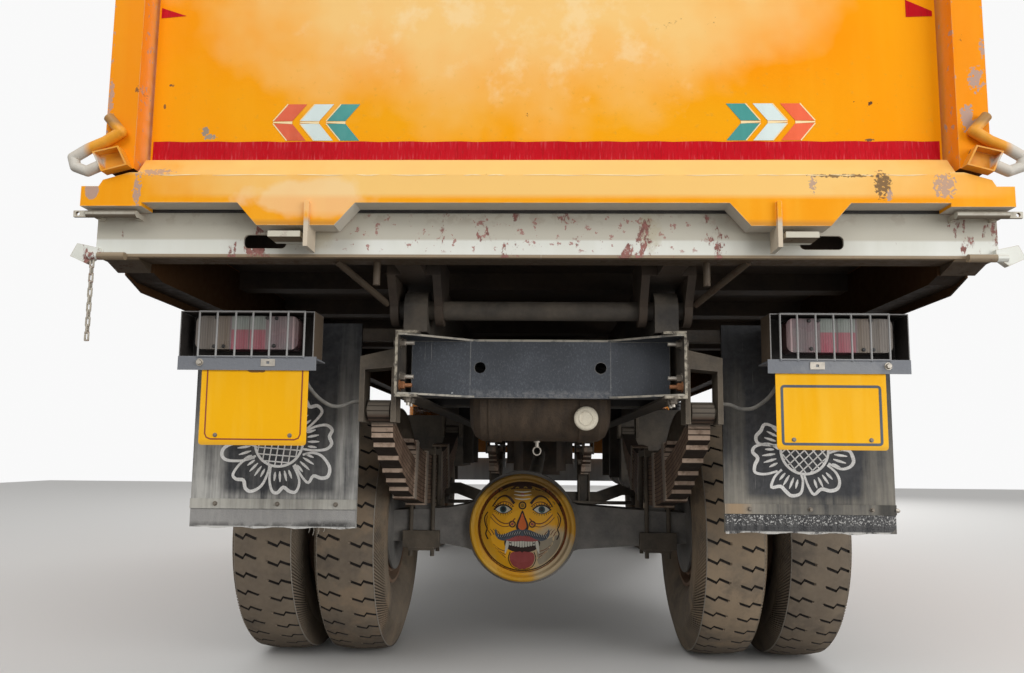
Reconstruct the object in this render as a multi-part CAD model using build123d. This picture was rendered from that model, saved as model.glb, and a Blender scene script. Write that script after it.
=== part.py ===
from build123d import *
import math
import os

# Tipper truck, rear-hinged bed. X right, Y forward, Z up from the ground, millimetres
# The origin is under the middle of the truck's length

# Axles
WHEELBASE = 3600.0
FRONT_OVERHANG = 1250.0
REAR_OVERHANG = 1430.0
REAR_Y = (REAR_OVERHANG - FRONT_OVERHANG - WHEELBASE) / 2
FRONT_Y = REAR_Y + WHEELBASE

# Tyres and wheels
TYRE_R = 525.0
TYRE_W = 278.0
TREAD_W = 225.0
RIM_R = 254.0
RIM_W = 200.0
TWIN_SPACING = 320.0
REAR_TRACK = 1802.0
FRONT_TRACK = 1950.0
DRUM_R = 205.0
REAR_X = REAR_TRACK / 2
FRONT_X = FRONT_TRACK / 2
PIN_GAP = 0.5
SEAT_GAP = 0.3

# Frame
FRAME_HALF = 442.0
RAIL_TOP = 1211.0
RAIL_DEPTH = 204.0
RAIL_FLANGE = 70.0
RAIL_T = 8.0
FRAME_TAIL = 1126.0
FRAME_NOSE = 1050.0
RAIL_BOTTOM = RAIL_TOP - RAIL_DEPTH
FRAME_REAR = REAR_Y - FRAME_TAIL
FRAME_FRONT = FRONT_Y + FRAME_NOSE
DRAWBAR_SPACING = 386.0
DRAWBAR_R = 18.0
DRAWBAR_SET = 130.0
DRAWBAR_RISE = 105.0

# Subframe, tip pivot and lift cylinder
RUNNER_X = 387.0
RUNNER_W = 72.0
RUNNER_H = 114.0
PIVOT_BACK = 1040.0
PIVOT_RISE = 76.0
PIVOT_R = 30.0
PIVOT_Y = REAR_Y - PIVOT_BACK
PIVOT_Z = RAIL_TOP + PIVOT_RISE
TIP_ANGLE = 48.0
FOOT_Y = PIVOT_Y + 1000.0
FOOT_Z = PIVOT_Z - 200.0
LIFT_Y = PIVOT_Y + 2400.0
LIFT_Z = PIVOT_Z + 60.0
BARREL_R = 70.0
BARREL_L = 1080.0
ROD_R = 35.0
ROD_STAY = 100.0

# Bed
BED_RISE = 90.0
BED_RUNNER_H = 66.0
BEARER_H = 63.0
FLOOR_T = 6.0
BED_BOTTOM = PIVOT_Z + BED_RISE
FLOOR_Z = BED_BOTTOM + BED_RUNNER_H + BEARER_H + FLOOR_T
SILL_BACK = 1343.0
SILL_Y = REAR_Y - SILL_BACK
SILL_D = 80.0
SILL_H = 134.0
SILL_HALF = 1250.0
BRACE_R = 10.0
SIDE_IN = 1125.0
SIDE_OUT = 1210.0
SIDE_T = 5.0
SIDE_H = 1048.0
SIDE_DROP = 41.0
POST_LOW = 1612.0
SIDE_LIP = 24.0
BED_FRONT = 1340.0
HEAD_H = 1190.0
RIB_D = 60.0
SIDE_TOP = FLOOR_Z + SIDE_H
SILL_TOP = FLOOR_Z - FLOOR_T

# Tailgate
GATE_SIDE_GAP = 13.0
GATE_HALF = SIDE_IN - GATE_SIDE_GAP
GATE_T = 6.0
GATE_RAIL_H = 78.0
GATE_RAIL_D = 62.0
GATE_GAP = 5.0
GATE_EAR = SIDE_OUT + 52.0
GATE_HINGE_Y = SILL_Y + 30.0
GATE_HINGE_Z = SIDE_TOP + 40.0
LEVER_R = 14.5

# Cab
CAB_HALF = 1160.0
CAB_REAR = 1410.0
CAB_TOP = 2660.0
CAB_WALL = 45.0
CAB_CORNER = 90.0
CAB_SKIRT = 1080.0
CAB_NOSE_BOTTOM = 860.0
CAB_FLOOR = 1250.0
HUMP_TOP = 1500.0
CAB_NOSE = FRONT_Y + FRONT_OVERHANG - 100.0
ROOF_SPLIT = CAB_TOP - 125.0
DOOR_GAP = 8.0
DOOR_FRONT = 2850.0
DOOR_REAR = 1960.0
DOOR_SILL = 1170.0
HINGE_OUT = 14.0
HINGE_HEIGHTS = (1330.0, 1700.0)
ARCH_R = 625.0
GRILLE_TOP = 1480.0
STEP_Y = (2560.0, 2790.0)
STEP_LEVELS = (560.0, 810.0)

# Steering
KINGPIN_X = 850.0
KINGPIN_R = 22.0
STEER_ARM = 150.0
TRACK_ROD_Z = TYRE_R - 95 - 18 - SEAT_GAP

# Air tank
TANK_R = 120.0
TANK_HALF = 235.0
TANK_TOP = 1132.0
TANK_BACK = 800.0


def block(x, y, z):
    """Box between (low, high) limits on each axis."""
    size = [high - low for low, high in (x, y, z)]
    middle = [(low + high) / 2 for low, high in (x, y, z)]
    return Pos(*middle) * Box(*size)


def rod(start, end, radius):
    """Round bar between two points."""
    along = Vector(*end) - Vector(*start)
    place = Plane(origin=start, z_dir=along)
    bottom = (Align.CENTER, Align.CENTER, Align.MIN)
    return place * Cylinder(radius, along.length, align=bottom)


def prism_x(points, low, high):
    """Outline in (y, z) drawn out along X."""
    return extrude(Plane.YZ.offset(low) * Polygon(*points, align=None), high - low, dir=(1, 0, 0))


def prism_y(points, low, high):
    """Outline in (x, z) drawn out along Y."""
    place = Plane(origin=(0, low, 0), x_dir=(1, 0, 0), z_dir=(0, -1, 0))
    return extrude(place * Polygon(*points, align=None), high - low, dir=(0, 1, 0))


def prism_z(points, low, high):
    """Outline in (x, y) drawn out along Z."""
    return extrude(Pos(0, 0, low) * Polygon(*points, align=None), high - low, dir=(0, 0, 1))


def turned_x(points):
    """Outline in (x, radius) turned about the X axis."""
    return revolve(Polygon(*points, align=None), Axis.X)


def turned_y(points):
    """Outline in (y, radius) turned about the Y axis."""
    return Rot(0, 0, 90) * turned_x(points)


def flipped(part):
    return mirror(part, about=Plane.YZ)


def pair(*parts):
    return list(parts) + [flipped(part) for part in parts]


def save(name, *parts):
    solids = [solid for part in parts for solid in part.solids()]
    export_step(Compound(solids), f"parts/{name}.step")


def frame_rails():
    inner = FRAME_HALF - RAIL_FLANGE
    web = FRAME_HALF - RAIL_T
    low, high = RAIL_BOTTOM, RAIL_TOP
    channel = [
        (FRAME_HALF, low), (FRAME_HALF, high), (inner, high), (inner, high - RAIL_T),
        (web, high - RAIL_T), (web, low + RAIL_T), (inner, low + RAIL_T), (inner, low),
    ]
    return pair(prism_y(channel, FRAME_REAR, FRAME_FRONT))


def cross_channel(y, low, high, width):
    """Channel across the frame between the webs, open forward."""
    half = FRAME_HALF - RAIL_T
    t = 6.0
    section = [
        (y, low), (y, high), (y + width, high), (y + width, high - t),
        (y + t, high - t), (y + t, low + t), (y + width, low + t), (y + width, low),
    ]
    return prism_x(section, -half, half)


def crossmembers():
    low, high = RAIL_BOTTOM + RAIL_T, RAIL_TOP - RAIL_T
    # y of the web, bottom, top
    table = [
        (FRONT_Y + 900, low, high),
        (FRONT_Y - 1250, low, high),
        (REAR_Y + 1500, low, high),
        (REAR_Y + 620, low, low + 100),
        (REAR_Y - 560, low, high),
        (REAR_Y - TANK_BACK - 35, TANK_TOP, high),
    ]
    members = [cross_channel(y, bottom, top, 70) for y, bottom, top in table]
    # The rear member's web stands ahead of the rail ends, between flange plates that reach back to them
    half = FRAME_HALF - RAIL_T
    y = FRAME_REAR + DRAWBAR_SET
    z = RAIL_BOTTOM + DRAWBAR_RISE
    web = block((21 - half, half - 21), (y, y + 8), (low, high))
    for side in (-1, 1):
        x = side * DRAWBAR_SPACING / 2
        web -= rod((x, y - 5, z), (x, y + 15, z), DRAWBAR_R)
    tip = FRAME_REAR + 2
    plate = [
        (-half, y + 45), (-half, tip), (21 - half, tip), (-half / 2, y), (half / 2, y), (half - 21, tip),
        (half, tip), (half, y + 45),
    ]
    for bottom in (low, high - 6):
        web += prism_z(plate, bottom, bottom + 6)
    return members + [web]


def subframe():
    top = RAIL_TOP + RUNNER_H
    low = RUNNER_X - RUNNER_W / 2
    high = RUNNER_X + RUNNER_W / 2
    rest = BED_BOTTOM - SEAT_GAP
    rise_y = PIVOT_Y + 260
    eye_r = 58.0
    profile = [
        (PIVOT_Y - 50, RAIL_TOP), (CAB_REAR - 60, RAIL_TOP), (CAB_REAR - 60, rest),
        (rise_y + 150, rest), (rise_y, top), (PIVOT_Y, top), (PIVOT_Y - 50, PIVOT_Z),
    ]
    runner = prism_x(profile, low, high)
    runner += block((low, high), (PIVOT_Y - 58, PIVOT_Y - 50), (RAIL_TOP, PIVOT_Z + 12))
    runner += rod((low, PIVOT_Y, PIVOT_Z), (high, PIVOT_Y, PIVOT_Z), eye_r)
    frame = runner + flipped(runner)
    frame += rod((-470, PIVOT_Y, PIVOT_Z), (470, PIVOT_Y, PIVOT_Z), PIVOT_R)
    for y in (REAR_Y - 500, REAR_Y + 1750, REAR_Y + 2500):
        frame += block((-low, low), (y, y + 60), (RAIL_TOP + 10, RAIL_TOP + 70))
    return [frame]


def leaf(y, z, radius, thick, half, x):
    """One curved leaf, lowest at (y, z) on its upper side."""
    centre = z + radius
    top = math.asin(half / radius)
    outer = Plane.YZ * Pos(y, centre) * Circle(radius + thick)
    inner = Plane.YZ * Pos(y, centre) * Circle(radius)
    ring = extrude(outer - inner, 70, dir=(1, 0, 0))
    ring = Pos(x - 35, 0, 0) * ring
    drop = radius * (1 - math.cos(top)) + thick
    return ring & block((x - 40, x + 40), (y - half, y + half), (z - 2 * thick - 20, z + drop + 5))


def spring(x, y, eye_half, eye_z, sag, thick, shares, helpers, clips):
    """Leaf pack hung from two eyes, its main leaf lowest under the axle's middle."""
    radius = (eye_half ** 2 + sag ** 2) / (2 * sag)
    seat = eye_z - sag
    pack = leaf(y, seat, radius, thick, eye_half, x)
    for number, share in enumerate(shares, start=1):
        pack += leaf(y, seat - number * thick, radius + number * thick, thick, eye_half * share, x)
    for number, share in enumerate(helpers, start=1):
        pack += leaf(y, seat + number * thick, radius - number * thick, thick, eye_half * share, x)
    # Clip bands, square to the curve
    low = radius + (len(shares) + 1) * thick + 8
    high = radius - len(helpers) * thick - 8
    for share in clips:
        angle = math.degrees(math.asin(eye_half * share / radius))
        for side in (-1, 1):
            band = Pos(0, 0, -(low + high) / 2) * Box(84, 40, low - high)
            pack += Pos(x, y, seat + radius) * Rot(side * angle, 0, 0) * band
    for side in (-1, 1):
        end = y + side * eye_half
        eye = rod((x - 35, end, eye_z), (x + 35, end, eye_z), EYE_R)
        pin = rod((x - 40, end, eye_z), (x + 40, end, eye_z), 15 + PIN_GAP)
        pack = pack + eye - pin
    return pack


# Rear axle
DIFF_X = -72.0
BANJO_R = 240.0
AXLE_HALF_D = 75.0
COVER_R = 228.0
BACKPLATE_X = REAR_X - 255.0
SPINDLE_R = 60.0
ARM_DEEP = 78.0

# Springs
REAR_SPRING_X = FRAME_HALF + 69
REAR_EYE_HALF = 990.0
REAR_EYE_Z = 972.0
REAR_SAG = 207.0
REAR_LEAF_T = 16.0
FRONT_SPRING_X = FRAME_HALF - 35
FRONT_EYE_HALF = 650.0
FRONT_EYE_Z = 880.0
FRONT_SAG = 130.0
FRONT_LEAF_T = 13.0
EYE_R = 34.0
BOLT_R = 9.0
# Half length of each leaf as a share of the main leaf's: down from the main leaf, then up from it
REAR_SHARES = (0.965, 0.963, 0.96, 0.926, 0.855, 0.774, 0.707, 0.646)
REAR_HELPERS = (0.44, 0.48, 0.52, 0.56)
FRONT_SHARES = (0.877, 0.754, 0.631, 0.508, 0.385, 0.262)
# Clip bands, as shares of the main leaf's half length
REAR_CLIPS = (0.233, 0.495)
FRONT_CLIPS = (0.55,)


def leaf_springs():
    rear = spring(
        REAR_SPRING_X, REAR_Y, REAR_EYE_HALF, REAR_EYE_Z, REAR_SAG, REAR_LEAF_T,
        REAR_SHARES, REAR_HELPERS, REAR_CLIPS,
    )
    front = spring(
        FRONT_SPRING_X, FRONT_Y, FRONT_EYE_HALF, FRONT_EYE_Z, FRONT_SAG, FRONT_LEAF_T,
        FRONT_SHARES, (), FRONT_CLIPS,
    )
    return pair(rear, front)


def rear_hanger(y):
    """Right-hand hanger: arm out from the rail with a plate down each side of the spring's eye."""
    x, z = REAR_SPRING_X, REAR_EYE_Z
    outline = [
        (FRAME_HALF, z + 200), (x + 60, z + 170), (x + 60, z - 37), (x + 44, z - 37), (x + 44, z + 128),
        (x - 41, z + 136), (x - 41, z - 37), (x - 57, z - 37), (x - 57, z + 58), (FRAME_HALF, z + 58),
    ]
    hanger = prism_y(outline, y - 40, y + 40)
    hanger += block((FRAME_HALF, FRAME_HALF + 12), (y - 95, y + 95), (RAIL_BOTTOM + 12, RAIL_TOP - 20))
    hanger += rod((x - 57, y, z), (x + 60, y, z), 15)
    return hanger


def front_hanger(y):
    """Right-hand hanger under the rail with a plate down each side of the spring's eye."""
    x, z = FRONT_SPRING_X, FRONT_EYE_Z
    hanger = block((x - 50, x + 50), (y - 60, y + 60), (z + 60, RAIL_BOTTOM))
    for plate in (x - 50, x + 38):
        hanger += block((plate, plate + 12), (y - 30, y + 30), (z - 35, z + 62))
    hanger += rod((x - 50, y, z), (x + 50, y, z), 15)
    return hanger


def spring_clamp(x, y, top, bottom, reach):
    """Plates over and under a spring seat with four upright bolts."""
    lift = top + 4
    low = bottom - 25
    clamp = block((x - 56, x + 56), (y - reach - 16, y + reach + 16), (lift, lift + 26))
    clamp += block((x - 30, x + 30), (y - 20, y + 20), (top + SEAT_GAP, lift))
    clamp += block((x - 56, x + 56), (y - reach - 16, y + reach + 16), (low, bottom))
    for dx in (-47, 47):
        for dy in (-reach, reach):
            clamp += rod((x + dx, y + dy, low - 25), (x + dx, y + dy, lift + 36), BOLT_R)
    return clamp


def spring_mounts():
    parts = [rear_hanger(REAR_Y + side * REAR_EYE_HALF) for side in (-1, 1)]
    parts += [front_hanger(FRONT_Y + side * FRONT_EYE_HALF) for side in (-1, 1)]
    top = REAR_EYE_Z - REAR_SAG + len(REAR_HELPERS) * REAR_LEAF_T
    reach = AXLE_HALF_D + BOLT_R + SEAT_GAP
    under = TYRE_R - ARM_DEEP - SEAT_GAP
    rear = spring_clamp(REAR_SPRING_X, REAR_Y, top, under, reach)
    # Casting whose cheeks stand before and behind the axle arm
    x = REAR_SPRING_X
    for side in (-1, 1):
        near, far = sorted((REAR_Y + side * (AXLE_HALF_D + SEAT_GAP), REAR_Y + side * (reach + 19)))
        rear += block((x - 79, x + 79), (near, far), (under - 12, TYRE_R - 19))
    rear += block((x - 79, x + 79), (REAR_Y - reach - 19, REAR_Y + reach + 19), (under - 12, under))
    parts.append(rear)
    top = FRONT_EYE_Z - FRONT_SAG
    parts.append(spring_clamp(FRONT_SPRING_X, FRONT_Y, top, 400, 60 + BOLT_R + SEAT_GAP))
    return pair(*parts)


def rear_axle():
    z = TYRE_R
    half_depths = [
        (-BACKPLATE_X, 65), (-400, ARM_DEEP), (DIFF_X - 240, 95), (DIFF_X, BANJO_R - 60), (DIFF_X + 240, 95),
        (400, ARM_DEEP), (BACKPLATE_X, 65),
    ]
    arm = [(x, z + depth) for x, depth in half_depths]
    arm += [(x, z - depth) for x, depth in reversed(half_depths)]
    housing = prism_y(arm, REAR_Y - AXLE_HALF_D, REAR_Y + AXLE_HALF_D)
    nose = [
        (-95, 0), (-95, BANJO_R), (95, BANJO_R), (120, 200), (250, 110), (330, 80), (330, 0),
    ]
    housing += Pos(DIFF_X, REAR_Y, z) * turned_y(nose)
    seat_top = REAR_EYE_Z - REAR_SAG - (len(REAR_SHARES) + 1) * REAR_LEAF_T
    for side in (-1, 1):
        x = side * REAR_SPRING_X
        housing += block((x - 35, x + 35), (REAR_Y - 60, REAR_Y + 60), (z, seat_top))
    drum_face = REAR_X - 250
    for side in (-1, 1):
        plate = [
            (BACKPLATE_X - 12, 0), (BACKPLATE_X - 12, DRUM_R - 10), (BACKPLATE_X - 4, DRUM_R - 10),
            (BACKPLATE_X - 4, 0),
        ]
        spindle = [
            (BACKPLATE_X - 4, 0), (BACKPLATE_X - 4, SPINDLE_R), (drum_face + 120, SPINDLE_R),
            (drum_face + 120, 0),
        ]
        end = Pos(0, REAR_Y, z) * (turned_x(plate) + turned_x(spindle))
        housing += end if side > 0 else flipped(end)
    return [housing]


def diff_cover():
    # Bolted rim, groove and shallow dome
    back = -95.0
    profile = [
        (back, 0), (back, COVER_R), (back - 24, COVER_R), (back - 31, COVER_R - 7),
        (back - 31, COVER_R - 18), (back - 19, COVER_R - 27), (back - 19, COVER_R - 38),
        (back - 34, COVER_R - 47), (back - 58, 140), (back - 72, 80), (back - 76, 0),
    ]
    return [Pos(DIFF_X, REAR_Y, TYRE_R) * turned_y(profile)]


def prop_shaft():
    start = Vector(DIFF_X, REAR_Y + 330, TYRE_R)
    end = Vector(0, FRONT_Y - 1100, 850)
    along = (end - start).normalized()
    shaft = rod(tuple(start + along * 60), tuple(end - along * 60), 45)
    flange = Plane(origin=tuple(start), z_dir=(0, 1, 0))
    bottom = (Align.CENTER, Align.CENTER, Align.MIN)
    shaft += flange * Cylinder(75, 20, align=bottom)
    shaft += rod(tuple(start + Vector(0, 15, 0)), tuple(start + along * 100), 34)
    shaft += rod(tuple(end - along * 100), tuple(end - Vector(0, 15, 0)), 34)
    top = (Align.CENTER, Align.CENTER, Align.MAX)
    shaft += Plane(origin=tuple(end), z_dir=(0, 1, 0)) * Cylinder(75, 20, align=top)
    return [shaft]


def engine():
    y0 = FRONT_Y - 350
    y1 = FRONT_Y + 700
    body = block((-290, 290), (y0, y1), (760, 1420))
    sump = prism_x([(y0 + 60, 760), (y0 + 120, 660), (y0 + 520, 660), (y0 + 600, 760)], -180, 180)
    bell = prism_z([(-230, y0), (230, y0), (140, y0 - 330), (-140, y0 - 330)], 700, 1090)
    box = block((-130, 130), (FRONT_Y - 1100, y0 - 330), (740, 1010))
    mounts = block((-FRAME_HALF + RAIL_T, FRAME_HALF - RAIL_T), (y0 + 300, y0 + 380), (1030, 1110))
    return [body + sump + bell + box + mounts]


def radiator():
    y = FRONT_Y + 780
    core = block((-330, 330), (y, y + 70), (800, 1400))
    half = FRAME_HALF - RAIL_T
    feet = block((-half, half), (y + 10, y + 60), (RAIL_BOTTOM + 40, RAIL_BOTTOM + 80))
    return [core + feet]


def front_axle():
    eye_low, eye_high = TYRE_R - 50, TYRE_R + 50
    beam = [
        (-KINGPIN_X, eye_low), (-KINGPIN_X + 90, eye_low), (-560, 400), (560, 400),
        (KINGPIN_X - 90, eye_low), (KINGPIN_X, eye_low), (KINGPIN_X, eye_high),
        (KINGPIN_X - 110, eye_high), (530, 500), (-530, 500), (-KINGPIN_X + 110, eye_high),
        (-KINGPIN_X, eye_high),
    ]
    axle = prism_y(beam, FRONT_Y - 42, FRONT_Y + 42)
    seat_top = FRONT_EYE_Z - FRONT_SAG - (len(FRONT_SHARES) + 1) * FRONT_LEAF_T
    for side in (-1, 1):
        x = side * FRONT_SPRING_X
        axle += block((x - 35, x + 35), (FRONT_Y - 60, FRONT_Y + 60), (450, seat_top))
        x = side * KINGPIN_X
        axle += rod((x, FRONT_Y, eye_low), (x, FRONT_Y, eye_high), 46)
        axle += rod((x, FRONT_Y, eye_low - 42), (x, FRONT_Y, eye_high + 42), KINGPIN_R)
    return [axle]


def knuckle():
    """Right-hand knuckle: yoke round the kingpin, spindle and steering arm."""
    z = TYRE_R
    low, high = z - 95, z + 95
    yoke = block((KINGPIN_X + 60, KINGPIN_X + 82), (FRONT_Y - 60, FRONT_Y + 60), (low, high))
    for bottom, top in ((z + 55, high), (low, z - 55)):
        yoke += rod((KINGPIN_X, FRONT_Y, bottom), (KINGPIN_X, FRONT_Y, top), 42)
        yoke += block((KINGPIN_X, KINGPIN_X + 70), (FRONT_Y - 42, FRONT_Y + 42), (bottom, top))
    end_y = FRONT_Y - STEER_ARM
    yoke += block((KINGPIN_X - 20, KINGPIN_X + 20), (end_y, FRONT_Y), (low, low + 24))
    yoke += rod((KINGPIN_X, end_y, low), (KINGPIN_X, end_y, low + 24), 26)
    yoke += rod((KINGPIN_X, end_y, TRACK_ROD_Z - 18), (KINGPIN_X, end_y, low + 10), 11)
    yoke -= rod((KINGPIN_X, FRONT_Y, z - 100), (KINGPIN_X, FRONT_Y, z + 100), KINGPIN_R + PIN_GAP)
    yoke += rod((KINGPIN_X + 80, FRONT_Y, z), (FRONT_X + 70, FRONT_Y, z), 38)
    return yoke


def track_rod():
    y = FRONT_Y - STEER_ARM
    bar = rod((-KINGPIN_X, y, TRACK_ROD_Z), (KINGPIN_X, y, TRACK_ROD_Z), 16)
    for side in (-1, 1):
        x = side * KINGPIN_X
        bar += rod((x, y, TRACK_ROD_Z - 18), (x, y, TRACK_ROD_Z + 18), 24)
        bar -= rod((x, y, TRACK_ROD_Z - 20), (x, y, TRACK_ROD_Z + 20), 11 + PIN_GAP)
    return [bar]


def tyre(x):
    half = TYRE_W / 2
    tread = TREAD_W / 2
    rim = RIM_W / 2 - 8
    profile = [
        (-rim, RIM_R), (-half, RIM_R + 145), (-tread - 8, TYRE_R - 15), (-tread + 38, TYRE_R),
        (tread - 38, TYRE_R), (tread + 8, TYRE_R - 15), (half, RIM_R + 145), (rim, RIM_R),
    ]
    return Pos(x, 0, TYRE_R) * turned_x(profile)


def rear_rims():
    """Right-hand twin rims, hub and drum as one turned form, outward along +X."""
    outer = TWIN_SPACING / 2 + RIM_W / 2
    inner = TWIN_SPACING / 2 - RIM_W / 2
    profile = [
        (-outer, RIM_R - 14), (-outer, RIM_R), (-inner, RIM_R), (-inner, RIM_R - 22), (inner, RIM_R - 22),
        (inner, RIM_R), (outer, RIM_R), (outer, RIM_R - 10), (40, RIM_R - 40), (14, 165), (14, 105),
        (150, 90), (172, 60), (172, 0), (-125, 0), (-125, SPINDLE_R + PIN_GAP), (-250, SPINDLE_R + PIN_GAP),
        (-250, DRUM_R), (-70, DRUM_R),
    ]
    return Pos(REAR_X, REAR_Y, TYRE_R) * turned_x(profile)


def front_rim():
    half = RIM_W / 2
    profile = [
        (-half, RIM_R - 12), (-half, RIM_R), (half, RIM_R), (half, RIM_R - 10), (70, RIM_R - 40),
        (95, 165), (95, 105), (150, 90), (170, 60), (170, 0), (75, 0), (75, 38 + PIN_GAP),
        (-35, 38 + PIN_GAP), (-35, DRUM_R - 15), (50, DRUM_R - 15), (60, RIM_R - 30),
    ]
    return Pos(FRONT_X, FRONT_Y, TYRE_R) * turned_x(profile)


def air_tank():
    y, z = REAR_Y - TANK_BACK, TANK_TOP - 10 - TANK_R
    ends = [
        (-TANK_HALF, 0), (-TANK_HALF, TANK_R - 45), (-TANK_HALF + 14, TANK_R - 15),
        (-TANK_HALF + 38, TANK_R), (TANK_HALF - 38, TANK_R), (TANK_HALF - 14, TANK_R - 15),
        (TANK_HALF, TANK_R - 45), (TANK_HALF, 0),
    ]
    tank = Pos(0, y, z) * turned_x(ends)
    for x in (-150, 150):
        tank += rod((x - 20, y, z), (x + 20, y, z), TANK_R + 4)
        tank += block((x - 20, x + 20), (y - 30, y + 30), (z, TANK_TOP))
    return [tank]


# Tail fittings behind and beside the frame
FLAP_BACK = 900.0
FLAP_IN = 600.0
FLAP_OUT = 1150.0
FLAP_TOP = 1270.0
FLAP_BOTTOM = 592.0
LAMP_BACK = 1130.0
LAMP_IN = 690.0
LAMP_OUT = 1104.0
LAMP_LOW = 1120.0
LAMP_HIGH = 1266.0
LAMP_D = 90.0
LENS_IN = 748.0
LENS_OUT = 1068.0
GUARD_X = (719.0, 770.0, 825.0, 878.0, 931.0, 988.0, 1043.0)
STRUT_X = (760.0, 1040.0)
STRUT_W = 40.0


def lamp_boxes():
    y0, y1 = REAR_Y - LAMP_BACK, REAR_Y - LAMP_BACK + LAMP_D
    t = 3.0
    shell = block((LAMP_IN, LAMP_OUT), (y0, y1), (LAMP_LOW, LAMP_HIGH))
    shell -= block((LAMP_IN + t, LAMP_OUT - t), (y0 - 1, y1 - t), (LAMP_LOW + t, LAMP_HIGH - t))
    shell += block((LAMP_IN - 10, LAMP_OUT), (y0 - 4, y0), (LAMP_LOW - 36, LAMP_LOW + 6))
    shell += block((LAMP_IN - 10, LAMP_OUT), (y0 - 4, y1), (LAMP_LOW - 4, LAMP_LOW))
    # Wire guard over the open side
    y = y0 - 5
    low, high = LAMP_LOW + 5, LAMP_HIGH - 2
    for x in GUARD_X:
        shell += rod((x, y, low - 4), (x, y, high), 3)
    for z in (low, high):
        shell += rod((GUARD_X[0], y, z), (GUARD_X[-1], y, z), 3)
    for x in (GUARD_X[0], GUARD_X[-1]):
        shell += rod((x, y, high), (x, y0 + 2, high), 3)
    return pair(shell)


def tail_lamps():
    y1 = REAR_Y - LAMP_BACK + LAMP_D - 3
    lens = block((LENS_IN, LENS_OUT), (y1 - 60, y1), (LAMP_LOW + 32, LAMP_HIGH - 10))
    return pair(fillet(lens.edges().filter_by(Axis.Y), 22))


def bracket_arms():
    y = REAR_Y - FLAP_BACK
    runner = RUNNER_X + RUNNER_W / 2
    arm = block((runner, FLAP_OUT), (y + 10, y + 50), (RAIL_TOP + 4, FLAP_TOP - 15))
    box_y = REAR_Y - LAMP_BACK + LAMP_D + SEAT_GAP
    for x in STRUT_X:
        arm += block((x - STRUT_W / 2, x + STRUT_W / 2), (box_y, y + 15), (FLAP_TOP - 40, FLAP_TOP - 15))
    return pair(arm)


def mud_flaps():
    y = REAR_Y - FLAP_BACK
    flap = block((FLAP_IN, FLAP_OUT), (y, y + 10), (FLAP_BOTTOM, FLAP_TOP))
    flap += block((FLAP_IN, FLAP_OUT), (y - 6, y), (FLAP_BOTTOM + 60, FLAP_BOTTOM + 92))
    half = STRUT_W / 2 + SEAT_GAP
    for x in STRUT_X:
        flap -= block((x - half, x + half), (y - 10, y + 20), (FLAP_TOP - 40 - SEAT_GAP, FLAP_TOP + 10))
    return pair(flap)


def fuel_tank():
    y0, y1 = REAR_Y + 1250, REAR_Y + 2050
    tank = block((FRAME_HALF + 60, FRAME_HALF + 560), (y0, y1), (640, 1120))
    tank = fillet(tank.edges().filter_by(Axis.Y), 60)
    for y in (y0 + 120, y1 - 180):
        tank += block((FRAME_HALF, FRAME_HALF + 90), (y, y + 60), (700, RAIL_TOP - 30))
    return [tank]


def battery_box():
    y0, y1 = REAR_Y + 1500, REAR_Y + 2050
    box = block((-FRAME_HALF - 480, -FRAME_HALF - 60), (y0, y1), (760, 1090))
    for y in (y0 + 60, y1 - 120):
        box += block((-FRAME_HALF - 90, -FRAME_HALF), (y, y + 60), (780, RAIL_TOP - 30))
    return [box]


def cab_block(inset):
    """Rounded outer form of the cab, drawn in by inset and open below."""
    skirt = CAB_SKIRT if inset == 0 else CAB_NOSE_BOTTOM - 100
    nose_low = CAB_NOSE_BOTTOM if inset == 0 else skirt
    points = [
        (CAB_REAR + inset, skirt), (CAB_REAR + inset, CAB_TOP - 40 - inset),
        (CAB_NOSE - 290 - inset, CAB_TOP - inset), (CAB_NOSE - 50 - inset, CAB_TOP - 840),
        (CAB_NOSE - inset, CAB_FLOOR), (CAB_NOSE - inset, nose_low),
    ]
    if inset == 0:
        points += [(FRONT_Y + ARCH_R + 15, nose_low), (FRONT_Y + ARCH_R + 15, skirt)]
    outline = Polyline(*points, close=True)
    low = skirt
    face = make_face(outline)
    radius = CAB_CORNER - inset
    upper = [v for v in face.vertices() if v.Y > CAB_TOP - 150 - inset]
    face = fillet(upper, radius)
    half = CAB_HALF - inset
    form = extrude(Plane.YZ.offset(-half) * face, 2 * half, dir=(1, 0, 0))
    edges = [
        e for e in form.edges()
        if abs(abs(e.center().X) - half) < 1 and e.bounding_box().max.Z > low + 300
        and not (e.bounding_box().size.Y > 800 and e.center().Z < CAB_FLOOR)
    ]
    return fillet(edges, radius)


def door_hinge(z):
    """Pin with two lugs on the pillar, and the door's sleeve between them, right-hand side."""
    x, y = CAB_HALF + HINGE_OUT, DOOR_FRONT + DOOR_GAP / 2
    fixed = rod((x, y, z - 34), (x, y, z + 34), 6)
    for low, high in ((z - 34, z - 20), (z + 20, z + 34)):
        fixed += rod((x, y, low), (x, y, high), 10)
        fixed += block((CAB_HALF, x + 6), (y + 4, y + 30), (low, high))
    moving = rod((x, y, z - 19.7), (x, y, z + 19.7), 10)
    moving += block((CAB_HALF, CAB_HALF + 8), (y - 60, y), (z - 19.7, z + 19.7))
    moving -= rod((x, y, z - 25), (x, y, z + 25), 6 + PIN_GAP)
    return fixed, moving


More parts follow.
